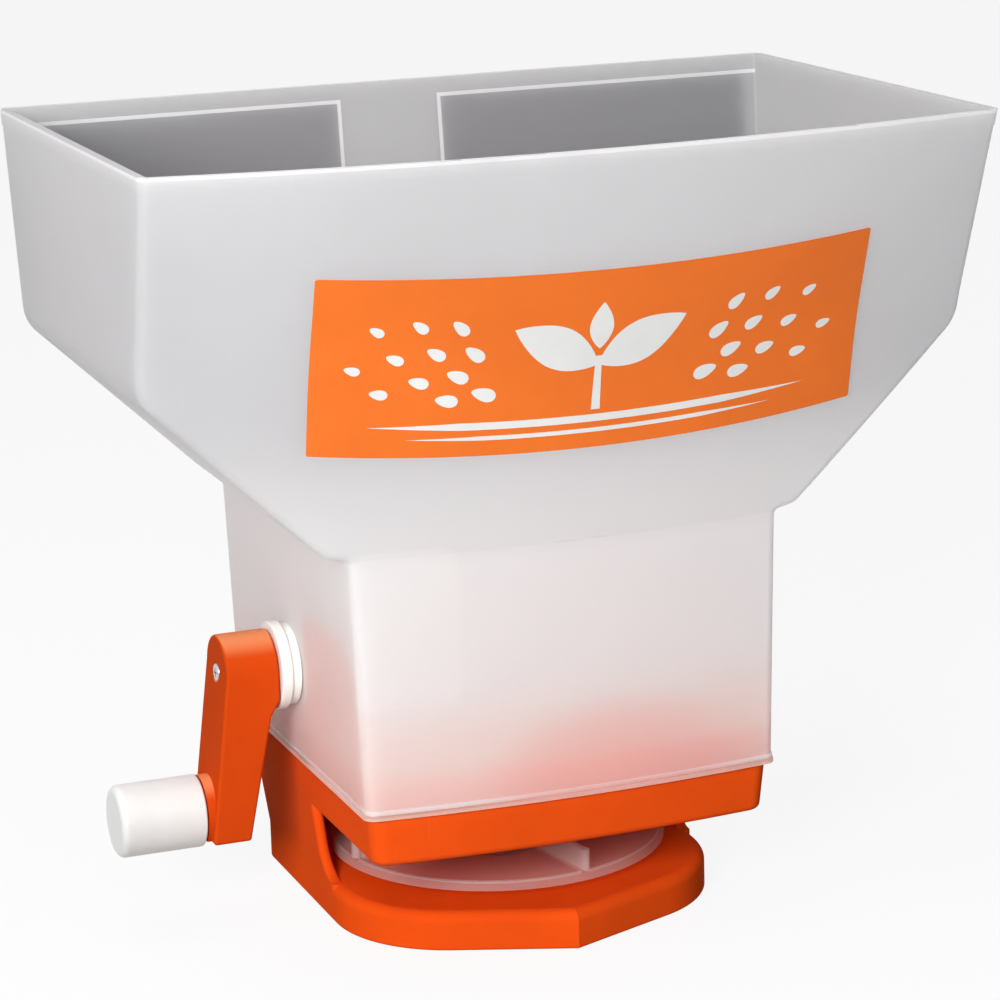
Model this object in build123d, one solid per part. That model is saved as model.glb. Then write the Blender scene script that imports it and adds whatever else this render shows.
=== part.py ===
from build123d import *
import math
import os

# Hand-crank garden spreader. Millimetres, X to the right, Y to the back, Z up, floor at Z = 0.

# Heights of the hopper's outline above the floor
NECK_Z = 58.0
NECK_TOP_Z = 149.0
BOX_Z = 215.5
RIM_Z = 287.0

# Half widths of the hopper at those heights
NECK_HALF = 75.5
NECK_TOP_HALF = 78.1
BOX_HALF = 148.2
RIM_HALF = 150.0

# Middle of the bowed front wall and the flat back wall at those heights
NECK_FRONT = -81.5
NECK_TOP_FRONT = -81.0
BOX_FRONT = -95.8
RIM_FRONT = -120.7
NECK_BACK = 78.0
NECK_TOP_BACK = 79.0
BOX_BACK = 84.3
RIM_BACK = 92.3
BOW_Y = 513.0

WALL = 2.5
HOPPER_CORNER = 3.5
SHOULDER_R = 14.0
WAIST_R = 1.6
LEDGE = 6.4
LEDGE_RISE = 1.6
LEDGE_R = 8.0
SIDE_DROP = 4.8
CREASE_R = 4.0
BEND_R = 200.0
RIM_BAND = 5.5
RIM_STEP = 0.3
LIP_H = 1.3
LIP_STEP = 0.9
LIP_GAP = 0.8
BEAD_H = 1.0
BEAD_STEP = 0.5

# Skins stuck to the hopper
SKIN = 0.3
SKIN_GAP = 0.02
DECAL_X = 4.5
DECAL_HALF = 98.5
DECAL_TOP = 250.0
DECAL_BOTTOM = 188.5
DECAL_TOP_BOW = 4.5
DECAL_BOTTOM_BOW = 6.0
DECAL_CORNER = 0.8
LABEL_TOP = 281.2
LABEL_BOTTOM = 226.0
LABEL_LEFT = (-142.0, -22.0)
LABEL_RIGHT = (16.0, 142.0)

# Base moulding
TRAY_INSET = 1.2
TRAY_DRAFT = 1.6
TRAY_Z = 40.0
TRAY_FLOOR = 3.0
TRAY_CORNER = 6.0
TRAY_EDGE = 2.4
BASE_WALL = 3.0
COLLAR_UP = 14.0
COLLAR_CLEAR = 0.3
COLLAR_WALL = 2.5
FOOT_H = 14.0
FOOT_HALF = 70.0
FOOT_BACK = 70.0
FOOT_APEX = -77.0
FOOT_ANGLE = 22.2
FOOT_CORNER = 46.0
FOOT_REAR_CORNER = 10.0
FOOT_EDGE = 4.0
FOOT_BOTTOM_EDGE = 1.0
FOOT_PLATE = 3.0
FOOT_WALL = 4.0
RIB = 2.4
WELL_R = 15.0
WELL_Z = 5.5
COLUMN_WALL = 4.0
COLUMN_EDGE = 1.9
COLUMN_TOP_Y = -2.5
COLUMN_FOOT_Y = -4.5
COLUMN_FLARE = 11.0
SNAP_LEN = 24.0
SNAP_UP = 3.2
SNAP_R = 1.0

# Shared axes
SHAFT_Y = 3.0
CRANK_Z = 93.2
KNOB_Z = 43.2

# Fits
RUN = 0.05
GAP = 0.3
SLIP = 0.1

# Bevel pair
MODULE = 1.5
GEAR_TEETH = 36
PINION_TEETH = 12
PRESSURE = 25.0
FACE = 8.0
ADDENDUM = 0.9
DEDENDUM = 1.15
BACKLASH = 0.30
ROOT_LEDGE = 0.5
ROOT_SINK = 0.6

# Crank
CRANK_R = 4.0
CRANK_FLAT = 3.2
BUSH_LEN = 7.4
BUSH_RING = 4.2
BUSH_OUT_R = 15.9
BUSH_WALL_R = 14.6
SPIGOT_R = 9.0
SPIGOT_LEN = 7.0
TUBE_R = 7.0
NUT_AF = 25.0
NUT_H = 5.0
HUB_R = 13.5
HUB_GAP = 0.4
HUB_LEN = 19.2
SOCKET_WALL = 5.0
ARM_FOOT_HALF = 14.2
ARM_BOTTOM = 33.6
ARM_STEP = 3.6
ARM_SHOULDER = 4.0
ARM_LEAN = 7.9
ARM_FOOT_THICK = 13.9
ARM_EDGE = 1.2
KNOB_R = 13.0
KNOB_LEN = 31.0
KNOB_GAP = 0.5
KNOB_END_R = 2.6
KNOB_BORE_END = 6.0
PIN_R = 3.0
PIN_BARB_R = 3.5
PIN_HEAD_R = 5.0
PIN_HEAD_H = 2.0
PIN_SEAT = 10.5
BOSS_STEP = 0.9
KNOB_BOSS_R = 12.6
SCREW_HEAD_R = 3.2
SCREW_SINK = 1.4

# Gear housing
HOUSING_X = (-24.5, 15.5)
HOUSING_R = 34.0
HOUSING_WALL = 2.5
EAR = 10.0
EAR_H = 3.0
PAD_Z = 62.0
BRIDGE_H = 6.0
BRIDGE_HALF = 12.0
LEDGE = 8.0

# Spinner
SPIN_R = 3.0
SPIN_FLAT = 2.4
SHAFT_TOP = 77.0
SHAFT_BOTTOM = 9.0
DISC_R = 61.5
DISC_Z = 17.4
DISC_T = 2.2
DISC_LIP = 1.2
FIN_TOP = 30.0
FIN_T = 1.8
FIN_COUNT = 4
FIN_START = 11.0
FIN_IN = 8.0
FIN_BEAD_R = 1.7
HUB_TOP = 31.5
HUB_BOTTOM = 15.4
SPIN_HUB_R = 9.0
NUT_BOTTOM = 10.6
BUSH_R = 5.5
BUSH_FLANGE_R = 8.0
BUSH_FLANGE_H = 1.5
BOSS_R = 9.0
AGITATOR_Z = (47.5, 54.0)
AGITATOR_R = 30.0
WASHER_R = 8.0
WASHER_T = 1.0

# Flow gate
PORT_HALF = 14.0
PORT_Y = (20.0, 38.0)
GATE_HALF = 19.0
GATE_Y = (16.0, 42.0)
GATE_T = 2.2
GATE_TAIL_HALF = 10.0
GATE_TAIL_OUT = 8.0
GATE_TRAVEL = 24.0
GATE_TAB = (26.0, 8.0, 3.0)
GUIDE_HALF = 28.0
GUIDE_FRONT = 13.0
GUIDE_T = 2.0

# Screws
M3_R = 1.5
M3_HEAD_R = 2.8
M3_HEAD_H = 2.0
PILOT_R = 1.5


def box(x0, x1, y0, y1, z0, z1):
    """A block between two corners."""
    centre = Pos((x0 + x1) / 2, (y0 + y1) / 2, (z0 + z1) / 2)
    return centre * Box(x1 - x0, y1 - y0, z1 - z0)


def along_x(radius, x0, x1, y, z):
    """A round bar along X."""
    return Pos((x0 + x1) / 2, y, z) * Rot(0, 90, 0) * Cylinder(radius, x1 - x0)


def along_z(radius, x, y, z0, z1):
    """A round bar along Z."""
    return Pos(x, y, (z0 + z1) / 2) * Cylinder(radius, z1 - z0)


def ring_x(outer, inner, x0, x1, y, z):
    """A round sleeve along X."""
    return along_x(outer, x0, x1, y, z) - along_x(inner, x0 - 1, x1 + 1, y, z)


def ring_z(outer, inner, x, y, z0, z1):
    """A round sleeve along Z."""
    return along_z(outer, x, y, z0, z1) - along_z(inner, x, y, z0 - 1, z1 + 1)


def slope(z, z0, a0, z1, a1):
    """Value at height z on the line through two points."""
    return a0 + (a1 - a0) * (z - z0) / (z1 - z0)


def neck_half(z):
    """Half width of the neck's outside at a height."""
    return slope(z, NECK_Z, NECK_HALF, NECK_TOP_Z, NECK_TOP_HALF)


def crank_wall(reach):
    """Half widths of the neck's outside that far below and above the crank's axis."""
    return neck_half(CRANK_Z - reach), neck_half(CRANK_Z + reach)


# Places that follow from the sizes above
TRAY_HALF = NECK_HALF - TRAY_INSET
TRAY_FRONT = NECK_FRONT + TRAY_INSET
TRAY_BACK = NECK_BACK - TRAY_INSET
SNAP_Z = NECK_Z + SNAP_UP
COLLAR_TOP = NECK_Z + COLLAR_UP
BUSH_WALL_X = -max(crank_wall(BUSH_WALL_R)) - SLIP
BUSH_OUT_X = BUSH_WALL_X - BUSH_LEN
BUSH_STEP_X = BUSH_OUT_X + BUSH_RING
NUT_X = WALL + SLIP - min(crank_wall(NUT_AF / math.sqrt(3)))
SPIGOT_END_X = NUT_X + SPIGOT_LEN
HUB_IN_X = BUSH_OUT_X - HUB_GAP
HUB_OUT_X = HUB_IN_X - HUB_LEN
HUB_SOCKET_X = HUB_OUT_X + SOCKET_WALL
ARM_IN_X = HUB_IN_X - ARM_STEP
ARM_FOOT_X = HUB_OUT_X - ARM_LEAN
KNOB_IN_X = ARM_FOOT_X - BOSS_STEP - KNOB_GAP
KNOB_OUT_X = KNOB_IN_X - KNOB_LEN
PIN_SEAT_X = ARM_FOOT_X + PIN_SEAT
GATE_TAIL_Y = TRAY_BACK + GATE_TAIL_OUT
GUIDE_Y = (GUIDE_FRONT, GATE_Y[1] + GATE_TRAVEL)


# The hopper's outline is carried past both ends so that offset copies can be cut clean
OVER = 14.0
LEVEL = 0.05
TOP = RIM_Z + OVER
LOW = NECK_Z - OVER
LEVELS = (NECK_Z, NECK_TOP_Z, BOX_Z, RIM_Z)


def carried(values):
    """Wall positions at the extended bottom, the two bends and the extended top."""
    low = slope(LOW, LEVELS[0], values[0], LEVELS[1], values[1])
    top = slope(TOP, LEVELS[2], values[2], LEVELS[3], values[3])
    return ((low, LOW), (values[1], LEVELS[1]), (values[2], LEVELS[2]), (top, TOP))


def bent(points, heights_and_radii):
    """Closed outline with the named bends rounded."""
    face = make_face(Polyline(*points, close=True))
    for place, radius in heights_and_radii:
        corner = face.vertices().sort_by(lambda v: (Vector(v.X, v.Y) - Vector(*place)).length)[0]
        face = fillet(corner, radius)
    return face


def width_outline():
    """Outline of the hopper seen from the front."""
    low, waist, _, top = carried((NECK_HALF, NECK_TOP_HALF, BOX_HALF, RIM_HALF))
    ledge = (waist[0] + LEDGE, waist[1] + LEDGE_RISE)
    side_z = BOX_Z - SIDE_DROP
    shoulder = (slope(side_z, BOX_Z, BOX_HALF, RIM_Z, RIM_HALF), side_z)
    right = [low, waist, ledge, shoulder, top]
    left = [(-x, z) for x, z in reversed(right)]
    bends = []
    for side in (1, -1):
        for (x, z), radius in ((waist, WAIST_R), (ledge, LEDGE_R), (shoulder, SHOULDER_R)):
            bends.append(((side * x, z), radius))
    return bent(right + left, bends)


def front_outline():
    """Region behind the bowed front wall, as radius from the bow's axis and height."""
    front = carried((NECK_FRONT, NECK_TOP_FRONT, BOX_FRONT, RIM_FRONT))
    wall = [(BOW_Y - y, z) for y, z in front]
    bends = [(wall[1], CREASE_R), (wall[2], BEND_R)]
    return bent([(300.0, LOW)] + wall + [(300.0, TOP)], bends)


def back_outline():
    """Region in front of the back wall."""
    back = carried((NECK_BACK, NECK_TOP_BACK, BOX_BACK, RIM_BACK))
    bends = [(back[1], CREASE_R), (back[2], BEND_R)]
    return bent([(-200.0, LOW)] + list(back) + [(-200.0, TOP)], bends)


WIDTH = width_outline()
FRONT = front_outline()
BACK = back_outline()


def hopper_block(inset, z0, z1, corner):
    """The hopper's solid form between two heights, its walls moved inward by inset."""
    width = offset(WIDTH, -inset) if inset else WIDTH
    front = offset(FRONT, -inset) if inset else FRONT
    back = offset(BACK, -inset) if inset else BACK
    wide = extrude(Plane.XZ * width, amount=200, both=True)
    deep = extrude(Plane.YZ * back, amount=200, both=True)
    turned = Pos(0, BOW_Y, 0) * revolve(Plane.YZ * front, Axis.Z)
    solid = wide & deep & turned & box(-200, 200, -200, 200, z0, z1)
    solid = solid.solids()[0]
    if corner:
        upright = [e for e in solid.edges() if e.bounding_box().size.Z > LEVEL]
        solid = fillet(upright, corner)
    return solid


def plan(half, front, back, r_front, r_back):
    """Flat outline with a bowed front."""
    area = Pos(0, (back - 150) / 2) * Rectangle(2 * half, back + 150)
    face = area & (Pos(0, BOW_Y) * Circle(BOW_Y - front))
    if r_front:
        face = fillet([v for v in face.vertices() if v.Y < 0], r_front)
    if r_back:
        face = fillet([v for v in face.vertices() if v.Y > back - 1], r_back)
    return face


def slab(face, z0, z1):
    """A flat outline raised between two heights."""
    return Pos(0, 0, z0) * extrude(face, amount=z1 - z0)


def foot_plan(inset):
    """Outline of the foot: straight sides and back, pointed front with round shoulders."""
    rise = FOOT_HALF * math.tan(math.radians(FOOT_ANGLE))
    pts = [
        (0, FOOT_APEX),
        (FOOT_HALF, FOOT_APEX + rise),
        (FOOT_HALF, FOOT_BACK),
        (-FOOT_HALF, FOOT_BACK),
        (-FOOT_HALF, FOOT_APEX + rise),
    ]
    face = make_face(Polyline(*pts, close=True))
    shoulders = [v for v in face.vertices() if abs(v.X) > 1 and v.Y < 0]
    face = fillet(shoulders, FOOT_CORNER)
    rear = [v for v in face.vertices() if v.Y > FOOT_BACK - 1]
    face = fillet(rear, FOOT_REAR_CORNER)
    return offset(face, -inset) if inset else face


def tray_plan(z, inset, corner):
    """Outline of the tray at a height, narrower toward its floor."""
    less = inset + slope(z, NECK_Z, 0, TRAY_Z, TRAY_DRAFT)
    return plan(TRAY_HALF - less, TRAY_FRONT + less, TRAY_BACK - less, corner, corner)


def column_front(z):
    """Front of the column at a height: an upright line that curves forward onto the foot."""
    share = min(1.0, max(0.0, 1 - (z - FOOT_H) / COLUMN_FLARE))
    curve = COLUMN_FLARE * (1 - math.sqrt(1 - share**2))
    return slope(max(z, FOOT_H), FOOT_H, COLUMN_FOOT_Y, TRAY_Z, COLUMN_TOP_Y) - curve


def column_plan(z):
    """Outline of the column at a height: a rear wall and two side walls with round front ends."""
    above = max(z, FOOT_H)
    half = slope(above, FOOT_H, FOOT_HALF, TRAY_Z, TRAY_HALF - TRAY_DRAFT - SLIP)
    back = slope(above, FOOT_H, FOOT_BACK, TRAY_Z, TRAY_BACK - TRAY_DRAFT - SLIP)
    front = column_front(z)
    inner_half = half - COLUMN_WALL
    inner_back = back - BASE_WALL
    outer = Pos(0, (front + back) / 2) * Rectangle(2 * half, back - front)
    outer = fillet([v for v in outer.vertices() if v.Y > back - 1], FOOT_REAR_CORNER)
    inner = Pos(0, (front - 5 + inner_back) / 2) * Rectangle(2 * inner_half, inner_back - front + 5)
    inner = fillet([v for v in inner.vertices() if v.Y > inner_back - 1], FOOT_REAR_CORNER - BASE_WALL)
    ends = outer - inner
    ends = fillet([v for v in ends.vertices() if v.Y < front + 0.01], COLUMN_EDGE)
    return Pos(0, 0, z) * ends.face()


def screw(length):
    """A pan head screw along Z, head upward, seat at Z = 0, with a cross recess."""
    head = along_z(M3_HEAD_R, 0, 0, 0, M3_HEAD_H)
    head = fillet(head.edges().group_by(Axis.Z)[-1], 0.8)
    cross = box(-1.6, 1.6, -0.35, 0.35, M3_HEAD_H - 1.1, M3_HEAD_H + 1)
    cross += box(-0.35, 0.35, -1.6, 1.6, M3_HEAD_H - 1.1, M3_HEAD_H + 1)
    return head - cross + along_z(M3_R, 0, 0, -length, 0)


def bevel(teeth, other):
    """A straight bevel gear about Z with its apex at the origin and its large end below."""
    r = MODULE * teeth / 2
    h = MODULE * other / 2
    cone = math.hypot(r, h)
    sin_d = r / cone
    cos_d = h / cone
    small = (cone - FACE) / cone
    virtual = r / cos_d
    base = virtual * math.cos(math.radians(PRESSURE))
    inv_pitch = math.tan(math.radians(PRESSURE)) - math.radians(PRESSURE)
    half_pitch = (math.pi * MODULE / 4 - BACKLASH / 4) / virtual
    root_r = virtual - DEDENDUM * MODULE
    tip_r = virtual + ADDENDUM * MODULE
    radii = [root_r - ROOT_SINK, max(root_r, base)]
    steps = 5
    for i in range(1, steps + 1):
        radii.append(radii[1] + (tip_r - radii[1]) * i / steps)

    def flank(rho):
        """Along the back cone and across the tooth, for one radius of the virtual gear."""
        angle = math.acos(min(1.0, base / rho))
        half = half_pitch + inv_pitch - (math.tan(angle) - angle)
        return (rho * math.cos(half) - virtual, rho * math.sin(half))

    side = [flank(rho) for rho in radii]
    outline = side + [(q, -t) for q, t in reversed(side)]

    def place(q, t, share):
        """A point of the tooth at a share of the cone distance."""
        x = (r + q * cos_d) * share
        z = (-h + q * sin_d) * share
        return (x, t * share, z)

    ends = []
    for share in (1.0, small):
        pts = [place(q, t, share) for q, t in outline]
        ends.append(make_face(Polyline(*pts, close=True)))
    tooth = Solid.make_loft([ends[0].face().outer_wire(), ends[1].face().outer_wire()], True)
    drop = DEDENDUM * MODULE
    root = (r - drop * cos_d, -h - drop * sin_d)
    big = 1 + ROOT_LEDGE / cone
    less = small - ROOT_LEDGE / cone
    return tooth, (root[0] * big, root[1] * big), (root[0] * less, root[1] * less)


parts = {}


def make_hopper():
    """Translucent hopper: box, sloping shoulders, neck, rim band and lip."""
    body = hopper_block(0, NECK_Z, RIM_Z, HOPPER_CORNER)
    band = hopper_block(-RIM_STEP, RIM_Z - RIM_BAND, RIM_Z, HOPPER_CORNER + RIM_STEP)
    lip = hopper_block(-LIP_STEP, NECK_Z, NECK_Z + LIP_H, HOPPER_CORNER + LIP_STEP)
    bead_z = NECK_Z + LIP_H + LIP_GAP
    bead = hopper_block(-BEAD_STEP, bead_z, bead_z + BEAD_H, HOPPER_CORNER + BEAD_STEP)
    inner = hopper_block(WALL, LOW + 4, TOP - 4, HOPPER_CORNER - WALL)
    shell = body + band + lip + bead - inner
    shell -= along_x(SPIGOT_R + SLIP, BUSH_OUT_X, SPIGOT_END_X, SHAFT_Y, CRANK_Z)
    inside = neck_half(SNAP_Z) - WALL
    for side in (-1, 1):
        length = SNAP_LEN + 1
        groove = Pos(side * (inside - COLLAR_CLEAR), 0, SNAP_Z) * Rot(90, 0, 0)
        shell -= groove * Cylinder(SNAP_R + 0.45, length)
    return shell


def skin(outline):
    """A thin skin on the hopper's wall inside the given volume."""
    outer = hopper_block(-SKIN - SKIN_GAP, BOX_Z - 45, RIM_Z - RIM_BAND, 0)
    inner = hopper_block(-SKIN_GAP, BOX_Z - 50, RIM_Z, 0)
    return (outer - inner) & outline


def make_decal():
    """Orange front decal whose long edges dip in the middle."""
    x0 = DECAL_X - DECAL_HALF
    x1 = DECAL_X + DECAL_HALF
    edge = ThreePointArc((x0, DECAL_TOP), (DECAL_X, DECAL_TOP - DECAL_TOP_BOW), (x1, DECAL_TOP))
    edge += Line((x1, DECAL_TOP), (x1, DECAL_BOTTOM))
    low = DECAL_BOTTOM - DECAL_BOTTOM_BOW
    edge += ThreePointArc((x1, DECAL_BOTTOM), (DECAL_X, low), (x0, DECAL_BOTTOM))
    edge += Line((x0, DECAL_BOTTOM), (x0, DECAL_TOP))
    face = make_face(edge)
    face = fillet(face.vertices(), DECAL_CORNER)
    volume = extrude(Plane.XZ * face, amount=160) & box(-200, 200, -160, 0, 0, 400)
    return skin(volume)


def make_label(span):
    """Plain label on the back wall."""
    x0, x1 = span
    return skin(box(x0, x1, 40, 160, LABEL_BOTTOM, LABEL_TOP))


def make_base():
    """Base moulding: tray with collar, rear column, foot pan, ledges and bosses."""
    low = Pos(0, 0, TRAY_Z) * tray_plan(TRAY_Z, 0, TRAY_CORNER)
    high = Pos(0, 0, NECK_Z) * tray_plan(NECK_Z, 0, TRAY_CORNER)
    tray = loft([low.face(), high.face()], ruled=True)
    tray = fillet(tray.edges().group_by(Axis.Z)[0], TRAY_EDGE)
    hollow = tray_plan(TRAY_Z, BASE_WALL, TRAY_CORNER - BASE_WALL)
    base = tray - slab(hollow, TRAY_Z + TRAY_FLOOR, NECK_Z + 1)
    step = WALL + COLLAR_CLEAR
    collar = plan(NECK_HALF - step, NECK_FRONT + step, NECK_BACK - step, 1.6, 1.6)
    deep = step + COLLAR_WALL
    bore = plan(NECK_HALF - deep, NECK_FRONT + deep, NECK_BACK - deep, 1, 1)
    base += slab(collar, NECK_Z - 4, COLLAR_TOP) - slab(bore, NECK_Z - 5, COLLAR_TOP + 1)
    for side in (-1, 1):
        ridge = Pos(side * (NECK_HALF - step), 0, SNAP_Z) * Rot(90, 0, 0)
        base += ridge * Cylinder(SNAP_R, SNAP_LEN)
        x0, x1 = sorted((side * (NECK_HALF - deep + 0.5), side * (NECK_HALF - deep - LEDGE)))
        base += box(x0, x1, SHAFT_Y - 14, SHAFT_Y + 14, TRAY_Z + 1, PAD_Z - BRIDGE_H)

    foot = slab(foot_plan(0), 0, FOOT_H)
    foot = fillet(foot.edges().group_by(Axis.Z)[-1], FOOT_EDGE)
    foot = fillet(foot.edges().group_by(Axis.Z)[0], FOOT_BOTTOM_EDGE)
    pocket = slab(foot_plan(FOOT_WALL), -1, FOOT_H - FOOT_PLATE)
    pocket -= along_z(WELL_R + BASE_WALL, 0, SHAFT_Y, -2, FOOT_H)
    pocket -= box(-RIB / 2, RIB / 2, 2 * FOOT_APEX, 2 * FOOT_BACK, -2, FOOT_H)
    pocket -= box(-2 * FOOT_HALF, 2 * FOOT_HALF, SHAFT_Y - RIB / 2, SHAFT_Y + RIB / 2, -2, FOOT_H)
    foot -= pocket
    foot -= along_z(WELL_R, 0, SHAFT_Y, WELL_Z, FOOT_H + 1)

    heights = [FOOT_BOTTOM_EDGE]
    heights += [FOOT_H + COLUMN_FLARE * (1 - math.cos(math.radians(turn))) for turn in range(0, 91, 15)]
    heights += [TRAY_Z + TRAY_EDGE]
    column = loft([column_plan(z) for z in heights], ruled=True)
    base = base + foot + column

    under = TRAY_Z - GATE_T - GAP
    slot = (GATE_TAIL_HALF + GAP, TRAY_Z - GATE_T - 2 * GAP)
    base -= box(-slot[0], slot[0], FOOT_BACK - 4 * BASE_WALL, GATE_TAIL_Y, slot[1], TRAY_Z)
    base -= box(-PORT_HALF, PORT_HALF, PORT_Y[0], PORT_Y[1], under, TRAY_Z + TRAY_FLOOR + 1)
    base += along_z(BOSS_R, 0, SHAFT_Y, HUB_TOP + 2.2, TRAY_Z + TRAY_FLOOR + 2)
    base -= along_z(BUSH_R, 0, SHAFT_Y, HUB_TOP, NECK_Z)
    for x, y in guide_screw_places():
        base += along_z(3.6, x, y, TRAY_Z + 1, TRAY_Z + TRAY_FLOOR + 4)
        base -= along_z(PILOT_R, x, y, TRAY_Z - 1, TRAY_Z + TRAY_FLOOR + 2.5)
    for x, y in bridge_screw_places():
        base -= along_z(PILOT_R, x, y, PAD_Z - BRIDGE_H - 8, PAD_Z)
    return base


def guide_screw_places():
    """Places of the screws that hold the gate guide."""
    x = (GATE_HALF + GUIDE_HALF) / 2 + 0.2
    return [(sx * x, y) for sx in (-1, 1) for y in (GUIDE_Y[0] + 6, GUIDE_Y[1] - 8)]


def bridge_screw_places():
    """Places of the screws that hold the bridge to its ledges."""
    x = NECK_HALF - WALL - COLLAR_CLEAR - COLLAR_WALL - LEDGE / 2
    return [(sx * x, SHAFT_Y + sy * 7) for sx in (-1, 1) for sy in (-1, 1)]


def ear_screw_places():
    """Places of the screws that hold the gear housing to the bridge."""
    x = sum(HOUSING_X) / 2
    return [(x, SHAFT_Y + s * (HOUSING_R + EAR / 2)) for s in (-1, 1)]


def make_bridge():
    """Beam across the neck that carries the gear housing and the upper bushing."""
    end = TRAY_HALF - TRAY_DRAFT - BASE_WALL - GAP
    z0 = PAD_Z - BRIDGE_H
    beam = box(-end, end, SHAFT_Y - BRIDGE_HALF, SHAFT_Y + BRIDGE_HALF, z0, PAD_Z)
    reach = HOUSING_R + EAR
    beam += box(HOUSING_X[0], HOUSING_X[1], SHAFT_Y - reach, SHAFT_Y + reach, z0, PAD_Z)
    upright = beam.edges().filter_by(Axis.Z)
    beam = fillet(upright, 3)
    beam -= along_z(BUSH_R, 0, SHAFT_Y, z0 - 1, PAD_Z + 1)
    for x, y in bridge_screw_places():
        beam -= along_z(M3_R + SLIP, x, y, z0 - 1, PAD_Z + 1)
    for x, y in ear_screw_places():
        beam -= along_z(PILOT_R, x, y, z0 - 1, PAD_Z + 1)
    return beam


def make_gear_housing():
    """Dome over the bevel pair, open below, with two screw ears and a socket for the crank tube."""
    x0, x1 = HOUSING_X
    outer = along_x(HOUSING_R, x0, x1, SHAFT_Y, CRANK_Z)
    outer += box(x0, x1, SHAFT_Y - HOUSING_R, SHAFT_Y + HOUSING_R, PAD_Z, CRANK_Z)
    outer = fillet(outer.edges().filter_by(lambda e: e.center().Z > PAD_Z + 1), 2.0)
    thin = HOUSING_R - HOUSING_WALL
    inner = along_x(thin, x0 + HOUSING_WALL, x1 - HOUSING_WALL, SHAFT_Y, CRANK_Z)
    inner += box(
        x0 + HOUSING_WALL, x1 - HOUSING_WALL, SHAFT_Y - thin, SHAFT_Y + thin, PAD_Z - 1, CRANK_Z
    )
    reach = HOUSING_R + 1
    dome = outer - inner - box(x0 - 1, x1 + 1, SHAFT_Y - reach, SHAFT_Y + reach, CRANK_Z - reach, PAD_Z)
    mid = (x0 + x1) / 2
    for x, y in ear_screw_places():
        side = 1 if y > SHAFT_Y else -1
        near, far = sorted((SHAFT_Y + side * (HOUSING_R - 1), SHAFT_Y + side * (HOUSING_R + EAR)))
        dome += box(mid - 7, mid + 7, near, far, PAD_Z, PAD_Z + EAR_H)
        dome -= along_z(M3_R + SLIP, x, y, PAD_Z - 1, PAD_Z + EAR_H + 1)
    dome += ring_x(TUBE_R + 3, TUBE_R + SLIP, x0 - 5, x0 + 0.5, SHAFT_Y, CRANK_Z)
    dome -= along_x(TUBE_R + SLIP, x0 - 6, x0 + HOUSING_WALL + 1, SHAFT_Y, CRANK_Z)
    return dome


def make_crank_bushing():
    """Stepped bushing outside the neck with a tube that runs to the gear housing."""
    big = along_x(BUSH_OUT_R, BUSH_OUT_X, BUSH_STEP_X, SHAFT_Y, CRANK_Z)
    big = fillet(big.edges().filter_by(GeomType.CIRCLE), 0.9)
    bush = big + along_x(BUSH_WALL_R, BUSH_STEP_X - 1, BUSH_WALL_X, SHAFT_Y, CRANK_Z)
    bush += along_x(SPIGOT_R, BUSH_WALL_X - 1, SPIGOT_END_X, SHAFT_Y, CRANK_Z)
    bush += along_x(TUBE_R, SPIGOT_END_X - 1, HOUSING_X[0] + HOUSING_WALL, SHAFT_Y, CRANK_Z)
    return bush - along_x(CRANK_R + RUN, HUB_OUT_X, 0, SHAFT_Y, CRANK_Z)


def make_bushing_nut():
    """Hexagon nut that clamps the bushing from inside the neck."""
    hexagon = RegularPolygon(NUT_AF / math.sqrt(3), 6)
    nut = extrude(hexagon, amount=NUT_H)
    nut -= along_z(SPIGOT_R + SLIP, 0, 0, -1, NUT_H + 1)
    return Pos(NUT_X, SHAFT_Y, CRANK_Z) * Rot(0, 90, 0) * nut


def shaft_section_x(radius, flat, x0, x1):
    """A round bar along X with one flat on its upper side."""
    bar = along_x(radius, x0, x1, SHAFT_Y, CRANK_Z)
    top = CRANK_Z + flat
    return bar - box(x0 - 1, x1 + 1, SHAFT_Y - 10, SHAFT_Y + 10, top, top + 10)


SHAFT_END_X = -10.0
GEAR_BACK_X = -14.0
GEAR_HUB_X = -20.5


def make_crank_shaft():
    """Steel shaft with a flat at each end and a tapped hole in each end face."""
    shaft = along_x(CRANK_R, BUSH_OUT_X, GEAR_HUB_X, SHAFT_Y, CRANK_Z)
    shaft += shaft_section_x(CRANK_R, CRANK_FLAT, HUB_SOCKET_X, BUSH_OUT_X)
    shaft += shaft_section_x(CRANK_R, CRANK_FLAT, GEAR_HUB_X, SHAFT_END_X)
    shaft -= along_x(PILOT_R, HUB_SOCKET_X - 1, HUB_SOCKET_X + 9, SHAFT_Y, CRANK_Z)
    shaft -= along_x(PILOT_R, SHAFT_END_X - 8, SHAFT_END_X + 1, SHAFT_Y, CRANK_Z)
    return shaft


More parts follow.
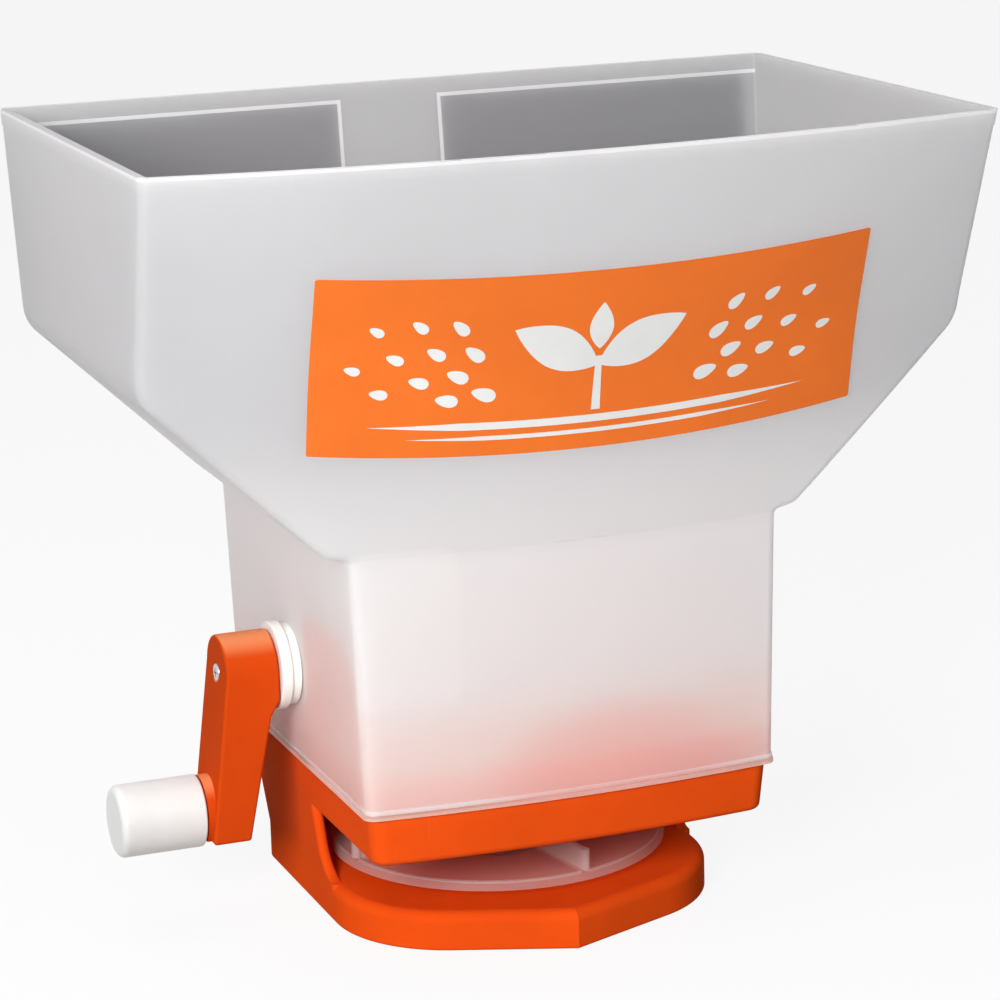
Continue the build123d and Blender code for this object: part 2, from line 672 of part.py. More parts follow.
def make_crank_arm():
    """Crank arm: round hub above, straight bar below that leans outward, boss for the knob."""
    top = CRANK_Z + HUB_R
    step = CRANK_Z - HUB_R + 0.5
    front = [
        (HUB_OUT_X, top + 1),
        (HUB_OUT_X, CRANK_Z + 2),
        (ARM_FOOT_X, ARM_BOTTOM),
        (ARM_FOOT_X + ARM_FOOT_THICK, ARM_BOTTOM),
        (ARM_IN_X, step - ARM_SHOULDER / 2),
        (HUB_IN_X, step + ARM_SHOULDER),
        (HUB_IN_X, top + 1),
    ]
    slab_y = extrude(Plane.XZ * make_face(Polyline(*front, close=True)), amount=40, both=True)
    bar = [
        (SHAFT_Y - HUB_R, CRANK_Z),
        (SHAFT_Y - ARM_FOOT_HALF, ARM_BOTTOM),
        (SHAFT_Y + ARM_FOOT_HALF, ARM_BOTTOM),
        (SHAFT_Y + HUB_R, CRANK_Z),
    ]
    side = make_face(Polyline(*bar, close=True)) + Pos(SHAFT_Y, CRANK_Z) * Circle(HUB_R)
    slab_x = Pos(HUB_OUT_X, 0, 0) * extrude(Plane.YZ * side, amount=30, both=True)
    arm = (slab_y & slab_x).solids()[0]
    arm = fillet([e for e in arm.edges() if abs(e.center().Z - CRANK_Z) > ARM_EDGE], ARM_EDGE)
    boss = along_x(KNOB_BOSS_R, ARM_FOOT_X - BOSS_STEP, ARM_FOOT_X + ARM_LEAN, SHAFT_Y, KNOB_Z)
    arm += boss & box(-2 * RIM_HALF, 0, -2 * HUB_R, 2 * HUB_R, ARM_BOTTOM, CRANK_Z)
    arm -= shaft_section_x(CRANK_R, CRANK_FLAT, HUB_SOCKET_X, HUB_IN_X + 1)
    arm -= along_x(M3_R + SLIP, HUB_OUT_X - 1, HUB_SOCKET_X + 1, SHAFT_Y, CRANK_Z)
    arm -= along_x(SCREW_HEAD_R + GAP, HUB_OUT_X - 1, HUB_OUT_X + SCREW_SINK, SHAFT_Y, CRANK_Z)
    arm -= along_x(PIN_R, ARM_FOOT_X - 5, HUB_IN_X, SHAFT_Y, KNOB_Z)
    arm -= along_x(PIN_HEAD_R, PIN_SEAT_X, HUB_IN_X, SHAFT_Y, KNOB_Z)
    return arm


def make_crank_screw():
    """Screw that holds the arm on its shaft."""
    seat = HUB_OUT_X + SCREW_SINK
    head = along_x(SCREW_HEAD_R, seat - M3_HEAD_H, seat, SHAFT_Y, CRANK_Z)
    head = fillet(head.edges().group_by(Axis.X)[0], 0.8)
    for turn in (0, 90):
        bar = Pos(seat - M3_HEAD_H, SHAFT_Y, CRANK_Z) * Rot(turn, 0, 0)
        head -= bar * Box(2.0, 3.4, 0.7)
    return head + along_x(M3_R, seat, HUB_SOCKET_X + 8, SHAFT_Y, CRANK_Z)


def make_drive_gear():
    """Large bevel gear on the crank shaft, facing right."""
    tooth, big, small = bevel(GEAR_TEETH, PINION_TEETH)
    profile = [
        (0, GEAR_HUB_X),
        (9.0, GEAR_HUB_X),
        (9.0, GEAR_BACK_X),
        (big[0] - 0.8, GEAR_BACK_X),
        (big[0], big[1]),
        (small[0], small[1]),
        (small[0], SHAFT_END_X),
        (0, SHAFT_END_X),
    ]
    gear = revolve(Plane.XZ * make_face(Polyline(*profile, close=True)), Axis.Z)
    pitch = 360 / GEAR_TEETH
    gear = gear.fuse(*[Rot(0, 0, pitch * (i + 0.5)) * tooth for i in range(GEAR_TEETH)])
    gear = Pos(0, SHAFT_Y, CRANK_Z) * Rot(0, 90, 0) * gear
    return gear - shaft_section_x(CRANK_R, CRANK_FLAT, GEAR_HUB_X - 1, SHAFT_END_X + 2)


def make_gear_screw():
    """Screw and wide head that hold the gear on the crank shaft."""
    head = along_x(6.0, SHAFT_END_X, SHAFT_END_X + M3_HEAD_H, SHAFT_Y, CRANK_Z)
    head = fillet(head.edges().group_by(Axis.X)[-1], 0.8)
    head -= box(SHAFT_END_X + 1, 0, SHAFT_Y - 3, SHAFT_Y + 3, CRANK_Z - 0.4, CRANK_Z + 0.4)
    return head + along_x(M3_R, SHAFT_END_X - 7, SHAFT_END_X, SHAFT_Y, CRANK_Z)


def make_pinion():
    """Small bevel gear on the spinner shaft."""
    tooth, big, small = bevel(PINION_TEETH, GEAR_TEETH)
    bottom = PAD_Z + WASHER_T + GAP - CRANK_Z
    profile = [
        (0, bottom),
        (6.0, bottom),
        (6.0, big[1]),
        (big[0], big[1]),
        (small[0], small[1]),
        (0, small[1]),
    ]
    gear = revolve(Plane.XZ * make_face(Polyline(*profile, close=True)), Axis.Z)
    pitch = 360 / PINION_TEETH
    gear = gear.fuse(*[Rot(0, 0, pitch * i) * tooth for i in range(PINION_TEETH)])
    gear = Pos(0, SHAFT_Y, CRANK_Z) * gear
    return gear - spinner_section(PAD_Z, CRANK_Z)


def spinner_section(z0, z1):
    """A round bar along Z with one flat at the back."""
    bar = along_z(SPIN_R, 0, SHAFT_Y, z0, z1)
    back = SHAFT_Y + SPIN_FLAT
    return bar - box(-10, 10, back, back + 10, z0 - 1, z1 + 1)


def make_spinner_shaft():
    """Upright steel shaft: flats for the pinion, the agitator and the spinner, thread below."""
    seat = PAD_Z + WASHER_T + GAP
    shaft = along_z(SPIN_R, 0, SHAFT_Y, HUB_TOP, seat)
    shaft += spinner_section(seat, SHAFT_TOP)
    shaft += spinner_section(HUB_BOTTOM, HUB_TOP)
    shaft += along_z(SPIN_R - 0.5, 0, SHAFT_Y, SHAFT_BOTTOM, HUB_BOTTOM)
    return shaft


def make_bushing(z0, z1, flange_at_top):
    """Flanged plain bushing about the spinner shaft."""
    bush = along_z(BUSH_R, 0, SHAFT_Y, z0, z1)
    if flange_at_top:
        bush += along_z(BUSH_FLANGE_R, 0, SHAFT_Y, z1, z1 + BUSH_FLANGE_H)
    else:
        bush += along_z(BUSH_FLANGE_R, 0, SHAFT_Y, z0 - BUSH_FLANGE_H, z0)
    return bush - along_z(SPIN_R + RUN, 0, SHAFT_Y, z0 - 5, z1 + 5)


def make_agitator():
    """Two raked blades on a hub that stir the granules above the port."""
    z0, z1 = AGITATOR_Z
    hub = along_z(7.0, 0, SHAFT_Y, z0, z1)
    for turn in (0, 180):
        blade = Pos(AGITATOR_R / 2 + 1, 0, z0 + 2.2) * Rot(25, 0, 0) * Box(AGITATOR_R - 2, 5.0, 1.8)
        hub += Pos(0, SHAFT_Y, 0) * Rot(0, 0, turn + FIN_START) * blade
    return hub - along_z(SPIN_R, 0, SHAFT_Y, z0 - 1, z1 + 1)


def make_spinner_disc():
    """Spreading disc with a shallow rim, a hub and upright fins ending in round beads."""
    disc = along_z(DISC_R, 0, SHAFT_Y, DISC_Z, DISC_Z + DISC_T)
    disc += ring_z(DISC_R, DISC_R - 1.6, 0, SHAFT_Y, DISC_Z, DISC_Z + DISC_T + DISC_LIP)
    disc += along_z(SPIN_HUB_R, 0, SHAFT_Y, HUB_BOTTOM, HUB_TOP)
    for i in range(FIN_COUNT):
        turn = Pos(0, SHAFT_Y, 0) * Rot(0, 0, FIN_START + 360 * i / FIN_COUNT)
        end = DISC_R - FIN_BEAD_R - 0.1
        low = [(FIN_IN, DISC_Z), (end, DISC_Z), (end, FIN_TOP - 1.5), (FIN_IN + 6, FIN_TOP), (FIN_IN, FIN_TOP)]
        fin = extrude(Plane.XZ * make_face(Polyline(*low, close=True)), amount=FIN_T / 2, both=True)
        fin += along_z(FIN_BEAD_R, end, 0, DISC_Z, FIN_TOP - 1.5)
        disc += turn * fin
    return disc - spinner_section(HUB_BOTTOM - 1, HUB_TOP + 1)


def make_spinner_nut():
    """Flanged nut below the spinner hub."""
    hexagon = extrude(RegularPolygon(5.5 / math.sqrt(3) * 2 * 0.9, 6), amount=HUB_BOTTOM - NUT_BOTTOM)
    nut = Pos(0, SHAFT_Y, NUT_BOTTOM) * hexagon
    nut += along_z(6.5, 0, SHAFT_Y, HUB_BOTTOM - 1.2, HUB_BOTTOM)
    return nut - along_z(SPIN_R - 0.5, 0, SHAFT_Y, NUT_BOTTOM - 1, HUB_BOTTOM + 1)


GATE_TOP = TRAY_Z - GAP
GATE_BOTTOM = GATE_TOP - GATE_T
GUIDE_TOP = GATE_BOTTOM - GAP


def make_gate():
    """Sliding plate that covers the port, with a tail and a thumb tab behind the column."""
    plate = box(-GATE_HALF, GATE_HALF, GATE_Y[0], GATE_Y[1], GATE_BOTTOM, GATE_TOP)
    tail = box(-GATE_TAIL_HALF, GATE_TAIL_HALF, GATE_Y[1] - 1, GATE_TAIL_Y, GATE_BOTTOM, GATE_TOP)
    wide, drop, thick = GATE_TAB
    tab = box(-wide / 2, wide / 2, GATE_TAIL_Y - thick, GATE_TAIL_Y, GATE_TOP - drop * 1.6, GATE_TOP + 1)
    tab = fillet(tab.edges(), 0.4 * thick)
    return plate + tail + tab


def make_guide():
    """Plate below the gate with a rail along each side."""
    y0, y1 = GUIDE_Y
    plate = box(-GUIDE_HALF, GUIDE_HALF, y0, y1, GUIDE_TOP - GUIDE_T, GUIDE_TOP)
    for side in (-1, 1):
        x0, x1 = sorted((side * (GATE_HALF + GAP), side * GUIDE_HALF))
        plate += box(x0, x1, y0, y1, GUIDE_TOP, TRAY_Z)
    grow = 0.6
    low = GUIDE_TOP - GUIDE_T - 1
    high = TRAY_Z + 1
    plate -= box(-PORT_HALF - grow, PORT_HALF + grow, PORT_Y[0] - grow, PORT_Y[1] + grow, low, high)
    for x, y in guide_screw_places():
        plate -= along_z(M3_R + SLIP, x, y, low, high)
    return plate


def make_knob():
    """Hand knob with a blind bore and a groove for the pin's barb."""
    knob = along_x(KNOB_R, KNOB_OUT_X, KNOB_IN_X, SHAFT_Y, KNOB_Z)
    knob = fillet(knob.edges().group_by(Axis.X)[0], KNOB_END_R)
    knob = fillet(knob.edges().group_by(Axis.X)[-1], 0.8)
    blind = KNOB_OUT_X + KNOB_BORE_END
    knob -= along_x(PIN_R + RUN, blind, KNOB_IN_X + 1, SHAFT_Y, KNOB_Z)
    knob -= along_x(PIN_BARB_R + GAP, blind + 2.5, blind + 6.5, SHAFT_Y, KNOB_Z)
    return knob


def make_knob_pin():
    """Pin fixed in the arm that the knob turns on."""
    blind = KNOB_OUT_X + KNOB_BORE_END
    pin = along_x(PIN_R, blind + 0.5, PIN_SEAT_X + PIN_HEAD_H, SHAFT_Y, KNOB_Z)
    pin += along_x(PIN_HEAD_R, PIN_SEAT_X, PIN_SEAT_X + PIN_HEAD_H, SHAFT_Y, KNOB_Z)
    barb = along_x(PIN_BARB_R, blind + 3.3, blind + 5.7, SHAFT_Y, KNOB_Z)
    return pin + fillet(barb.edges(), 0.4)


def group(shape, places):
    """Copies of one piece at several places."""
    return Compound(children=[loc * shape for loc in places])


parts["hopper"] = make_hopper()
parts["front_decal"] = make_decal()
parts["rear_label_left"] = make_label(LABEL_LEFT)
parts["rear_label_right"] = make_label(LABEL_RIGHT)
parts["base_housing"] = make_base()
parts["gear_bridge"] = make_bridge()
parts["bridge_screws"] = group(screw(11.0), [Pos(x, y, PAD_Z) for x, y in bridge_screw_places()])
parts["gear_housing"] = make_gear_housing()
parts["housing_screws"] = group(screw(8.0), [Pos(x, y, PAD_Z + EAR_H) for x, y in ear_screw_places()])
parts["crank_bushing"] = make_crank_bushing()
parts["bushing_nut"] = make_bushing_nut()
parts["crank_shaft"] = make_crank_shaft()
parts["crank_arm"] = make_crank_arm()
parts["crank_screw"] = make_crank_screw()
parts["drive_gear"] = make_drive_gear()
parts["gear_screw"] = make_gear_screw()
parts["knob_pin"] = make_knob_pin()
parts["crank_knob"] = make_knob()
parts["spinner_shaft"] = make_spinner_shaft()
parts["pinion_gear"] = make_pinion()
parts["thrust_washer"] = ring_z(WASHER_R, SPIN_R + 0.4, 0, SHAFT_Y, PAD_Z, PAD_Z + WASHER_T)
parts["upper_bushing"] = make_bushing(PAD_Z - BRIDGE_H, PAD_Z, False)
parts["lower_bushing"] = make_bushing(HUB_TOP + 2.2, TRAY_Z + TRAY_FLOOR + 3, False)
parts["agitator"] = make_agitator()
parts["spinner_disc"] = make_spinner_disc()
parts["spinner_nut"] = make_spinner_nut()
parts["gate_guide"] = make_guide()
guide_drop = GUIDE_TOP - GUIDE_T
parts["gate_screws"] = group(
    Rot(180, 0, 0) * screw(8.0), [Pos(x, y, guide_drop) for x, y in guide_screw_places()]
)
parts["flow_gate"] = make_gate()

os.makedirs("parts", exist_ok=True)
for name, shape in parts.items():
    export_step(shape, "parts/" + name + ".step")
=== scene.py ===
import math

import bmesh
import bpy
from bpy.props import FloatProperty, FloatVectorProperty, IntProperty, PointerProperty
from mathutils import Matrix, Vector
from mathutils.bvhtree import BVHTree


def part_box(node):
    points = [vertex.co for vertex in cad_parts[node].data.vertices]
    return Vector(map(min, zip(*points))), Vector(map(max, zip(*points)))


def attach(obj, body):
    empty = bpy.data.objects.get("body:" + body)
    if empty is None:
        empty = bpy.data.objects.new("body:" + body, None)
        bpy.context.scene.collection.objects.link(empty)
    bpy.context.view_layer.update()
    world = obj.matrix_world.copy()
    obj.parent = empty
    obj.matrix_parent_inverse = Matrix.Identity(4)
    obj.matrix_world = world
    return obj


bl_info = {
    "name": "Garden Spreader",
    "version": (1, 0, 0),
    "blender": (4, 5, 0),
    "location": "3D View > Sidebar > Spreader",
    "description": "Dresses a hand-crank garden spreader with moulded plastics, print and metal",
    "category": "Object",
}

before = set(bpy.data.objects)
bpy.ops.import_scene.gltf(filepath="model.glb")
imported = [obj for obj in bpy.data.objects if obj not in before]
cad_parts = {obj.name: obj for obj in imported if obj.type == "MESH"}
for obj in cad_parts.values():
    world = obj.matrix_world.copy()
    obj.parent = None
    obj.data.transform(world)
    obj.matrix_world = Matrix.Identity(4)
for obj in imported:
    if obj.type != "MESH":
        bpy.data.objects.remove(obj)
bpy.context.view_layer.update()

# Colours that aren't settings
PALE_PRINT = (0.97, 0.97, 0.97)
DISC_TINT = (1.0, 0.86, 0.82)
GEAR_TINT = (0.72, 0.69, 0.58)
ZINC_TINT = (0.62, 0.63, 0.65)

# Surface detail of each family: shades and gloss are the two ends of the slow mottling
MOULDED = {"mottle": 24.0, "shades": (0.93, 1.05), "gloss": (-0.05, 0.06), "bump": 0.35}
MILKY = {"mottle": 13.0, "shades": (0.965, 1.03), "gloss": (-0.04, 0.06), "bump": 0.25, "depth": 0.00005}
STEEL = {"mottle": 90.0, "shades": (0.85, 1.08), "gloss": (0.24, 0.42), "bump": 0.2, "depth": 0.00003}
STEEL_GRAIN = 2600.0
MOTTLE_SPAN = (0.3, 0.7)
MATT_SPECULAR = 0.002
COAT_ROUGH = 0.2

# Scuffs: thin slanted lines that show only in patches
SCUFF_TURN = (0.5, 0.9, 0.3)
SCUFF_STRETCH = (420.0, 30.0, 30.0)
SCUFF_LINES = (0.66, 0.74)
SCUFF_PATCHES = (0.52, 0.7)
SCUFF_PALE = 0.8
SCUFF_FADE = 0.35
MILKY_SCUFF = 0.3
MILKY_SCUFF_TINT = (0.9, 0.9, 0.9)

# Rear labels: how far back their wall lies, how squarely its faces look back, and their run to the corner
LABELS = ("rear_label_left", "rear_label_right")
LABEL_BEHIND = 0.07
LABEL_FACING = 0.6
LABEL_RUN = 0.02

# Hopper: each tint gives way to the one above it between two heights over the hopper's foot. All but the seam
# are painted light: a paler lit shoulder and neck, a painted glow of the orange parts behind the neck, and
# painted highlights on the bead and the lip; the seam is a dark joint line.
TINT_BANDS = (
    ("painted_shoulder_light", 0.091, 0.15),
    ("neck", 0.086, 0.092),
    ("painted_haze_glow", 0.02, 0.046),
    ("painted_blush_glow", 0.0, 0.022),
    ("painted_bead_highlight", 0.003, 0.0036),
    ("seam", 0.0014, 0.0018),
    ("lip", 0.0008, 0.0012),
)
INNER_SHADE_DEPTH = 0.1

# Decal print: its height over the decal, its longest edge, and where rays set out to find the decal
PRINT_LIFT = 0.00006
PRINT_EDGE = 0.006
PRINT_PASSES = 3
PRINT_FROM = -0.3
PRINT_GRAIN = 1.5
PRINT_DEPTH = 0.00002

# Floor: what it bounces onto the object, how it shows, its share of white, its half width and its drop
FLOOR_BOUNCE = 0.32
FLOOR_SHOWN = 0.95
FLOOR_WHITE = 0.9
FLOOR_HALF = 6.0
FLOOR_DROP = 0.0004
WORLD_TINT = (0.95, 0.97, 1.0)
WORLD_LIGHT = 0.12


# Settings


class SpreaderPlastic(bpy.types.PropertyGroup):
    """Colours and finish of the moulded pieces."""

    hopper: FloatVectorProperty(
        name="Hopper", description="Milky plastic of the hopper", subtype="COLOR",
        default=(0.66, 0.66, 0.675), min=0, max=1,
    )
    # painted shade: a darker grey for the shade on the hopper's inner walls
    inside: FloatVectorProperty(
        name="Hopper inside", description="Matt inner walls of the hopper", subtype="COLOR",
        default=(0.38, 0.38, 0.39), min=0, max=1,
    )
    # painted light: the neck is given a paler tone than the rest of the hopper, for the light it catches
    neck: FloatVectorProperty(
        name="Neck", description="Paler plastic of the hopper's neck", subtype="COLOR",
        default=(0.93, 0.92, 0.92), min=0, max=1,
    )
    # painted glow: pink of light from the orange tray coming through the neck's wall
    painted_blush_glow: FloatVectorProperty(
        name="Neck blush", description="Neck just above the orange tray", subtype="COLOR",
        default=(1.0, 0.74, 0.69), min=0, max=1,
    )
    # painted glow: pale pink of light from the orange collar and bridge coming through the neck
    painted_haze_glow: FloatVectorProperty(
        name="Neck haze", description="Neck in front of the orange collar and bridge", subtype="COLOR",
        default=(0.97, 0.83, 0.79), min=0, max=1,
    )
    # painted glow: orange light of the gear housing coming through the neck
    painted_glow_spot: FloatVectorProperty(
        name="Neck glow", description="Neck where the orange gear housing shows through", subtype="COLOR",
        default=(1.0, 0.5, 0.45), min=0, max=1,
    )
    # painted light: a paler tone where the hopper narrows, for the light it catches
    painted_shoulder_light: FloatVectorProperty(
        name="Shoulder", description="Hopper where it narrows to the neck", subtype="COLOR",
        default=(0.87, 0.865, 0.87), min=0, max=1,
    )
    # painted highlight: bright tone of the rim's edge, the lip's top line and a pale patch on the neck
    painted_bead_highlight: FloatVectorProperty(
        name="Bead", description="Bright edges of the rim and of the neck's lip", subtype="COLOR",
        default=(0.98, 0.97, 0.965), min=0, max=1,
    )
    seam: FloatVectorProperty(
        name="Seam", description="Fine line between the lip and the tray", subtype="COLOR",
        default=(0.62, 0.28, 0.22), min=0, max=1,
    )
    # painted highlight: peach line of the tray's lit top edge, painted onto the neck's lip
    lip: FloatVectorProperty(
        name="Lip", description="Edge of the neck that sits on the orange tray", subtype="COLOR",
        default=(1.0, 0.58, 0.42), min=0, max=1,
    )
    glow: FloatVectorProperty(
        name="Hopper light", description="Tint of light that comes through the hopper", subtype="COLOR",
        default=(0.95, 0.945, 0.945), min=0, max=1,
    )
    clear: FloatProperty(
        name="Clearness", description="Share of light that passes through the hopper's wall",
        subtype="FACTOR", default=0.52, min=0, max=1,
    )
    orange: FloatVectorProperty(
        name="Orange", description="Orange plastic of the base and the crank arm", subtype="COLOR",
        default=(0.9, 0.09, 0.008), min=0, max=1,
    )
    # painted highlight: paler orange on the tops that face up, standing in for gloss
    painted_top_highlight: FloatVectorProperty(
        name="Painted highlight orange", description="Paler orange of the tops that face the sky", subtype="COLOR",
        default=(1.0, 0.36, 0.15), min=0, max=1,
    )
    white: FloatVectorProperty(
        name="Knob white", description="White plastic of the knob", subtype="COLOR",
        default=(0.84, 0.835, 0.815), min=0, max=1,
    )
    cream: FloatVectorProperty(
        name="Bushing cream", description="Warm white plastic of the bushing", subtype="COLOR",
        default=(0.96, 0.955, 0.91), min=0, max=1,
    )
    grain: FloatProperty(
        name="Grain", description="Size of the moulded grain", subtype="DISTANCE",
        default=0.0011, min=0.0002, max=0.01,
    )


class SpreaderPrint(bpy.types.PropertyGroup):
    """Colours of the printed decal and labels."""

    field: FloatVectorProperty(
        name="Decal field", description="Orange ground of the front decal", subtype="COLOR",
        default=(0.97, 0.2, 0.026), min=0, max=1,
    )
    motif: FloatVectorProperty(
        name="Decal motif", description="White print on the front decal", subtype="COLOR",
        default=(0.9, 0.9, 0.88), min=0, max=1,
    )
    label: FloatVectorProperty(
        name="Rear labels", description="Grey ground of the rear labels", subtype="COLOR",
        default=(0.33, 0.33, 0.345), min=0, max=1,
    )
    border: FloatProperty(
        name="Label border", description="Width of the pale border of the rear labels", subtype="DISTANCE",
        default=0.0014, min=0.0, max=0.01,
    )
    rows: IntProperty(
        name="Seed rows", description="Rows of printed seeds on each side of the sprout",
        default=5, min=1, max=8,
    )
    dip_high: FloatProperty(
        name="Upper dip", description="Drop of the decal's upper edge at its middle", subtype="DISTANCE",
        default=0.0045, min=0.0, max=0.02,
    )
    dip_low: FloatProperty(
        name="Lower dip", description="Drop of the decal's lower edge at its middle", subtype="DISTANCE",
        default=0.006, min=0.0, max=0.02,
    )


# Shader building


def new_material(name):
    """A material with an empty node tree and its output."""
    mat = bpy.data.materials.new(name)
    mat.use_nodes = True
    tree = mat.node_tree
    tree.nodes.clear()
    out = tree.nodes.new("ShaderNodeOutputMaterial")
    out.location = (900, 0)
    return mat, tree, out


def add(tree, kind, **values):
    """A node with attributes and input values set by name."""
    node = tree.nodes.new(kind)
    for key, value in values.items():
        if hasattr(node, key):
            setattr(node, key, value)
        else:
            node.inputs[key.replace("_", " ")].default_value = value
    return node


def new_group(name, inputs, outputs):
    """A shader node group with named sockets."""
    tree = bpy.data.node_groups.new(name, "ShaderNodeTree")
    for label, kind, value in inputs:
        socket = tree.interface.new_socket(label, in_out="INPUT", socket_type=kind)
        socket.default_value = value
    for label, kind in outputs:
        tree.interface.new_socket(label, in_out="OUTPUT", socket_type=kind)
    source = tree.nodes.new("NodeGroupInput")
    sink = tree.nodes.new("NodeGroupOutput")
    return tree, source, sink


def math_node(tree, kind, a, b=None):
    """A Math node whose inputs are sockets or numbers."""
    node = tree.nodes.new("ShaderNodeMath")
    node.operation = kind
    for i, value in enumerate((a, b)):
        if value is None:
            continue
        if isinstance(value, (int, float)):
            node.inputs[i].default_value = value
        else:
            tree.links.new(value, node.inputs[i])
    return node.outputs[0]


def axes(tree, coord, kind):
    """X, Y and Z of one texture coordinate."""
    node = add(tree, "ShaderNodeSeparateXYZ")
    tree.links.new(coord.outputs[kind], node.inputs[0])
    return node.outputs


def moulded_group():
    """Fine moulded grain with slow mottling: height for bump, mottle for colour and gloss."""
    name = "moulded_grain"
    if name in bpy.data.node_groups:
        return bpy.data.node_groups[name]
    tree, source, sink = new_group(
        name,
        [("Grain", "NodeSocketFloat", 900.0), ("Mottle Scale", "NodeSocketFloat", 22.0)],
        [("Height", "NodeSocketFloat"), ("Mottle", "NodeSocketFloat"), ("Scuff", "NodeSocketFloat")],
    )
    coord = add(tree, "ShaderNodeTexCoord")
    fine = add(tree, "ShaderNodeTexNoise", Detail=3.0, Roughness=0.55)
    slow = add(tree, "ShaderNodeTexNoise", Detail=4.0, Roughness=0.6)
    tree.links.new(coord.outputs["Object"], fine.inputs["Vector"])
    tree.links.new(coord.outputs["Object"], slow.inputs["Vector"])
    tree.links.new(source.outputs["Grain"], fine.inputs["Scale"])
    tree.links.new(source.outputs["Mottle Scale"], slow.inputs["Scale"])
    turn = add(tree, "ShaderNodeMapping")
    turn.inputs["Rotation"].default_value = SCUFF_TURN
    turn.inputs["Scale"].default_value = SCUFF_STRETCH
    tree.links.new(coord.outputs["Object"], turn.inputs["Vector"])
    lines = add(tree, "ShaderNodeTexNoise", Scale=1.0, Detail=2.0, Roughness=0.5)
    tree.links.new(turn.outputs["Vector"], lines.inputs["Vector"])
    thin = spread(tree, lines.outputs[0], *SCUFF_LINES, 0.0, 1.0)
    patches = spread(tree, slow.outputs[0], *SCUFF_PATCHES, 0.0, 1.0)
    scuff = math_node(tree, "MULTIPLY", thin, patches)
    tree.links.new(fine.outputs[0], sink.inputs["Height"])
    tree.links.new(slow.outputs[0], sink.inputs["Mottle"])
    tree.links.new(scuff, sink.inputs["Scuff"])
    return tree


def panel_group():
    """Mask of an upright rectangle in X and Z on the back wall's faces, and of its border."""
    name = "label_panel"
    if name in bpy.data.node_groups:
        return bpy.data.node_groups[name]
    tree, source, sink = new_group(
        name,
        [
            ("Middle X", "NodeSocketFloat", 0.0),
            ("Half X", "NodeSocketFloat", 0.05),
            ("Middle Z", "NodeSocketFloat", 0.25),
            ("Half Z", "NodeSocketFloat", 0.03),
            ("Border", "NodeSocketFloat", 0.0014),
            ("Behind Y", "NodeSocketFloat", LABEL_BEHIND),
        ],
        [("Panel", "NodeSocketFloat"), ("Frame", "NodeSocketFloat")],
    )
    coord = add(tree, "ShaderNodeTexCoord")
    place = axes(tree, coord, "Object")
    facing = axes(tree, coord, "Normal")
    reach = []
    for letter in "XZ":
        away = math_node(tree, "SUBTRACT", place[letter], source.outputs["Middle " + letter])
        away = math_node(tree, "ABSOLUTE", away)
        reach.append(math_node(tree, "SUBTRACT", source.outputs["Half " + letter], away))
    edge = math_node(tree, "MINIMUM", reach[0], reach[1])
    inside = math_node(tree, "GREATER_THAN", edge, 0.0)
    deep = math_node(tree, "GREATER_THAN", edge, source.outputs["Border"])
    rear = math_node(tree, "GREATER_THAN", place["Y"], source.outputs["Behind Y"])
    flat = math_node(tree, "GREATER_THAN", math_node(tree, "ABSOLUTE", facing["Y"]), LABEL_FACING)
    panel = math_node(tree, "MULTIPLY", math_node(tree, "MULTIPLY", inside, rear), flat)
    field = math_node(tree, "MULTIPLY", deep, panel)
    rim = math_node(tree, "SUBTRACT", panel, field)
    tree.links.new(field, sink.inputs["Panel"])
    tree.links.new(rim, sink.inputs["Frame"])
    return tree


def height_group():
    """Share of the way up between two heights, eased at both ends."""
    name = "height_share"
    if name in bpy.data.node_groups:
        return bpy.data.node_groups[name]
    tree, source, sink = new_group(
        name,
        [("Low", "NodeSocketFloat", 0.0), ("High", "NodeSocketFloat", 0.1)],
        [("Share", "NodeSocketFloat")],
    )
    place = axes(tree, add(tree, "ShaderNodeTexCoord"), "Object")
    ease = add(tree, "ShaderNodeMapRange", interpolation_type="SMOOTHSTEP")
    tree.links.new(place["Z"], ease.inputs["Value"])
    tree.links.new(source.outputs["Low"], ease.inputs["From Min"])
    tree.links.new(source.outputs["High"], ease.inputs["From Max"])
    tree.links.new(ease.outputs["Result"], sink.inputs["Share"])
    return tree


def inner_group():
    """Mask of the walls that face the hopper's own middle, above a height, where painted shade goes."""
    name = "inner_wall"
    if name in bpy.data.node_groups:
        return bpy.data.node_groups[name]
    tree, source, sink = new_group(
        name,
        [("Middle Y", "NodeSocketFloat", 0.0), ("Above", "NodeSocketFloat", 0.2)],
        [("Mask", "NodeSocketFloat")],
    )
    coord = add(tree, "ShaderNodeTexCoord")
    place = axes(tree, coord, "Object")
    facing = axes(tree, coord, "Normal")
    across = math_node(tree, "MULTIPLY", place["X"], facing["X"])
    away = math_node(tree, "SUBTRACT", place["Y"], source.outputs["Middle Y"])
    along = math_node(tree, "MULTIPLY", away, facing["Y"])
    inward = math_node(tree, "LESS_THAN", math_node(tree, "ADD", across, along), 0.0)
    high = math_node(tree, "GREATER_THAN", place["Z"], source.outputs["Above"])
    tree.links.new(math_node(tree, "MULTIPLY", inward, high), sink.inputs["Mask"])
    return tree


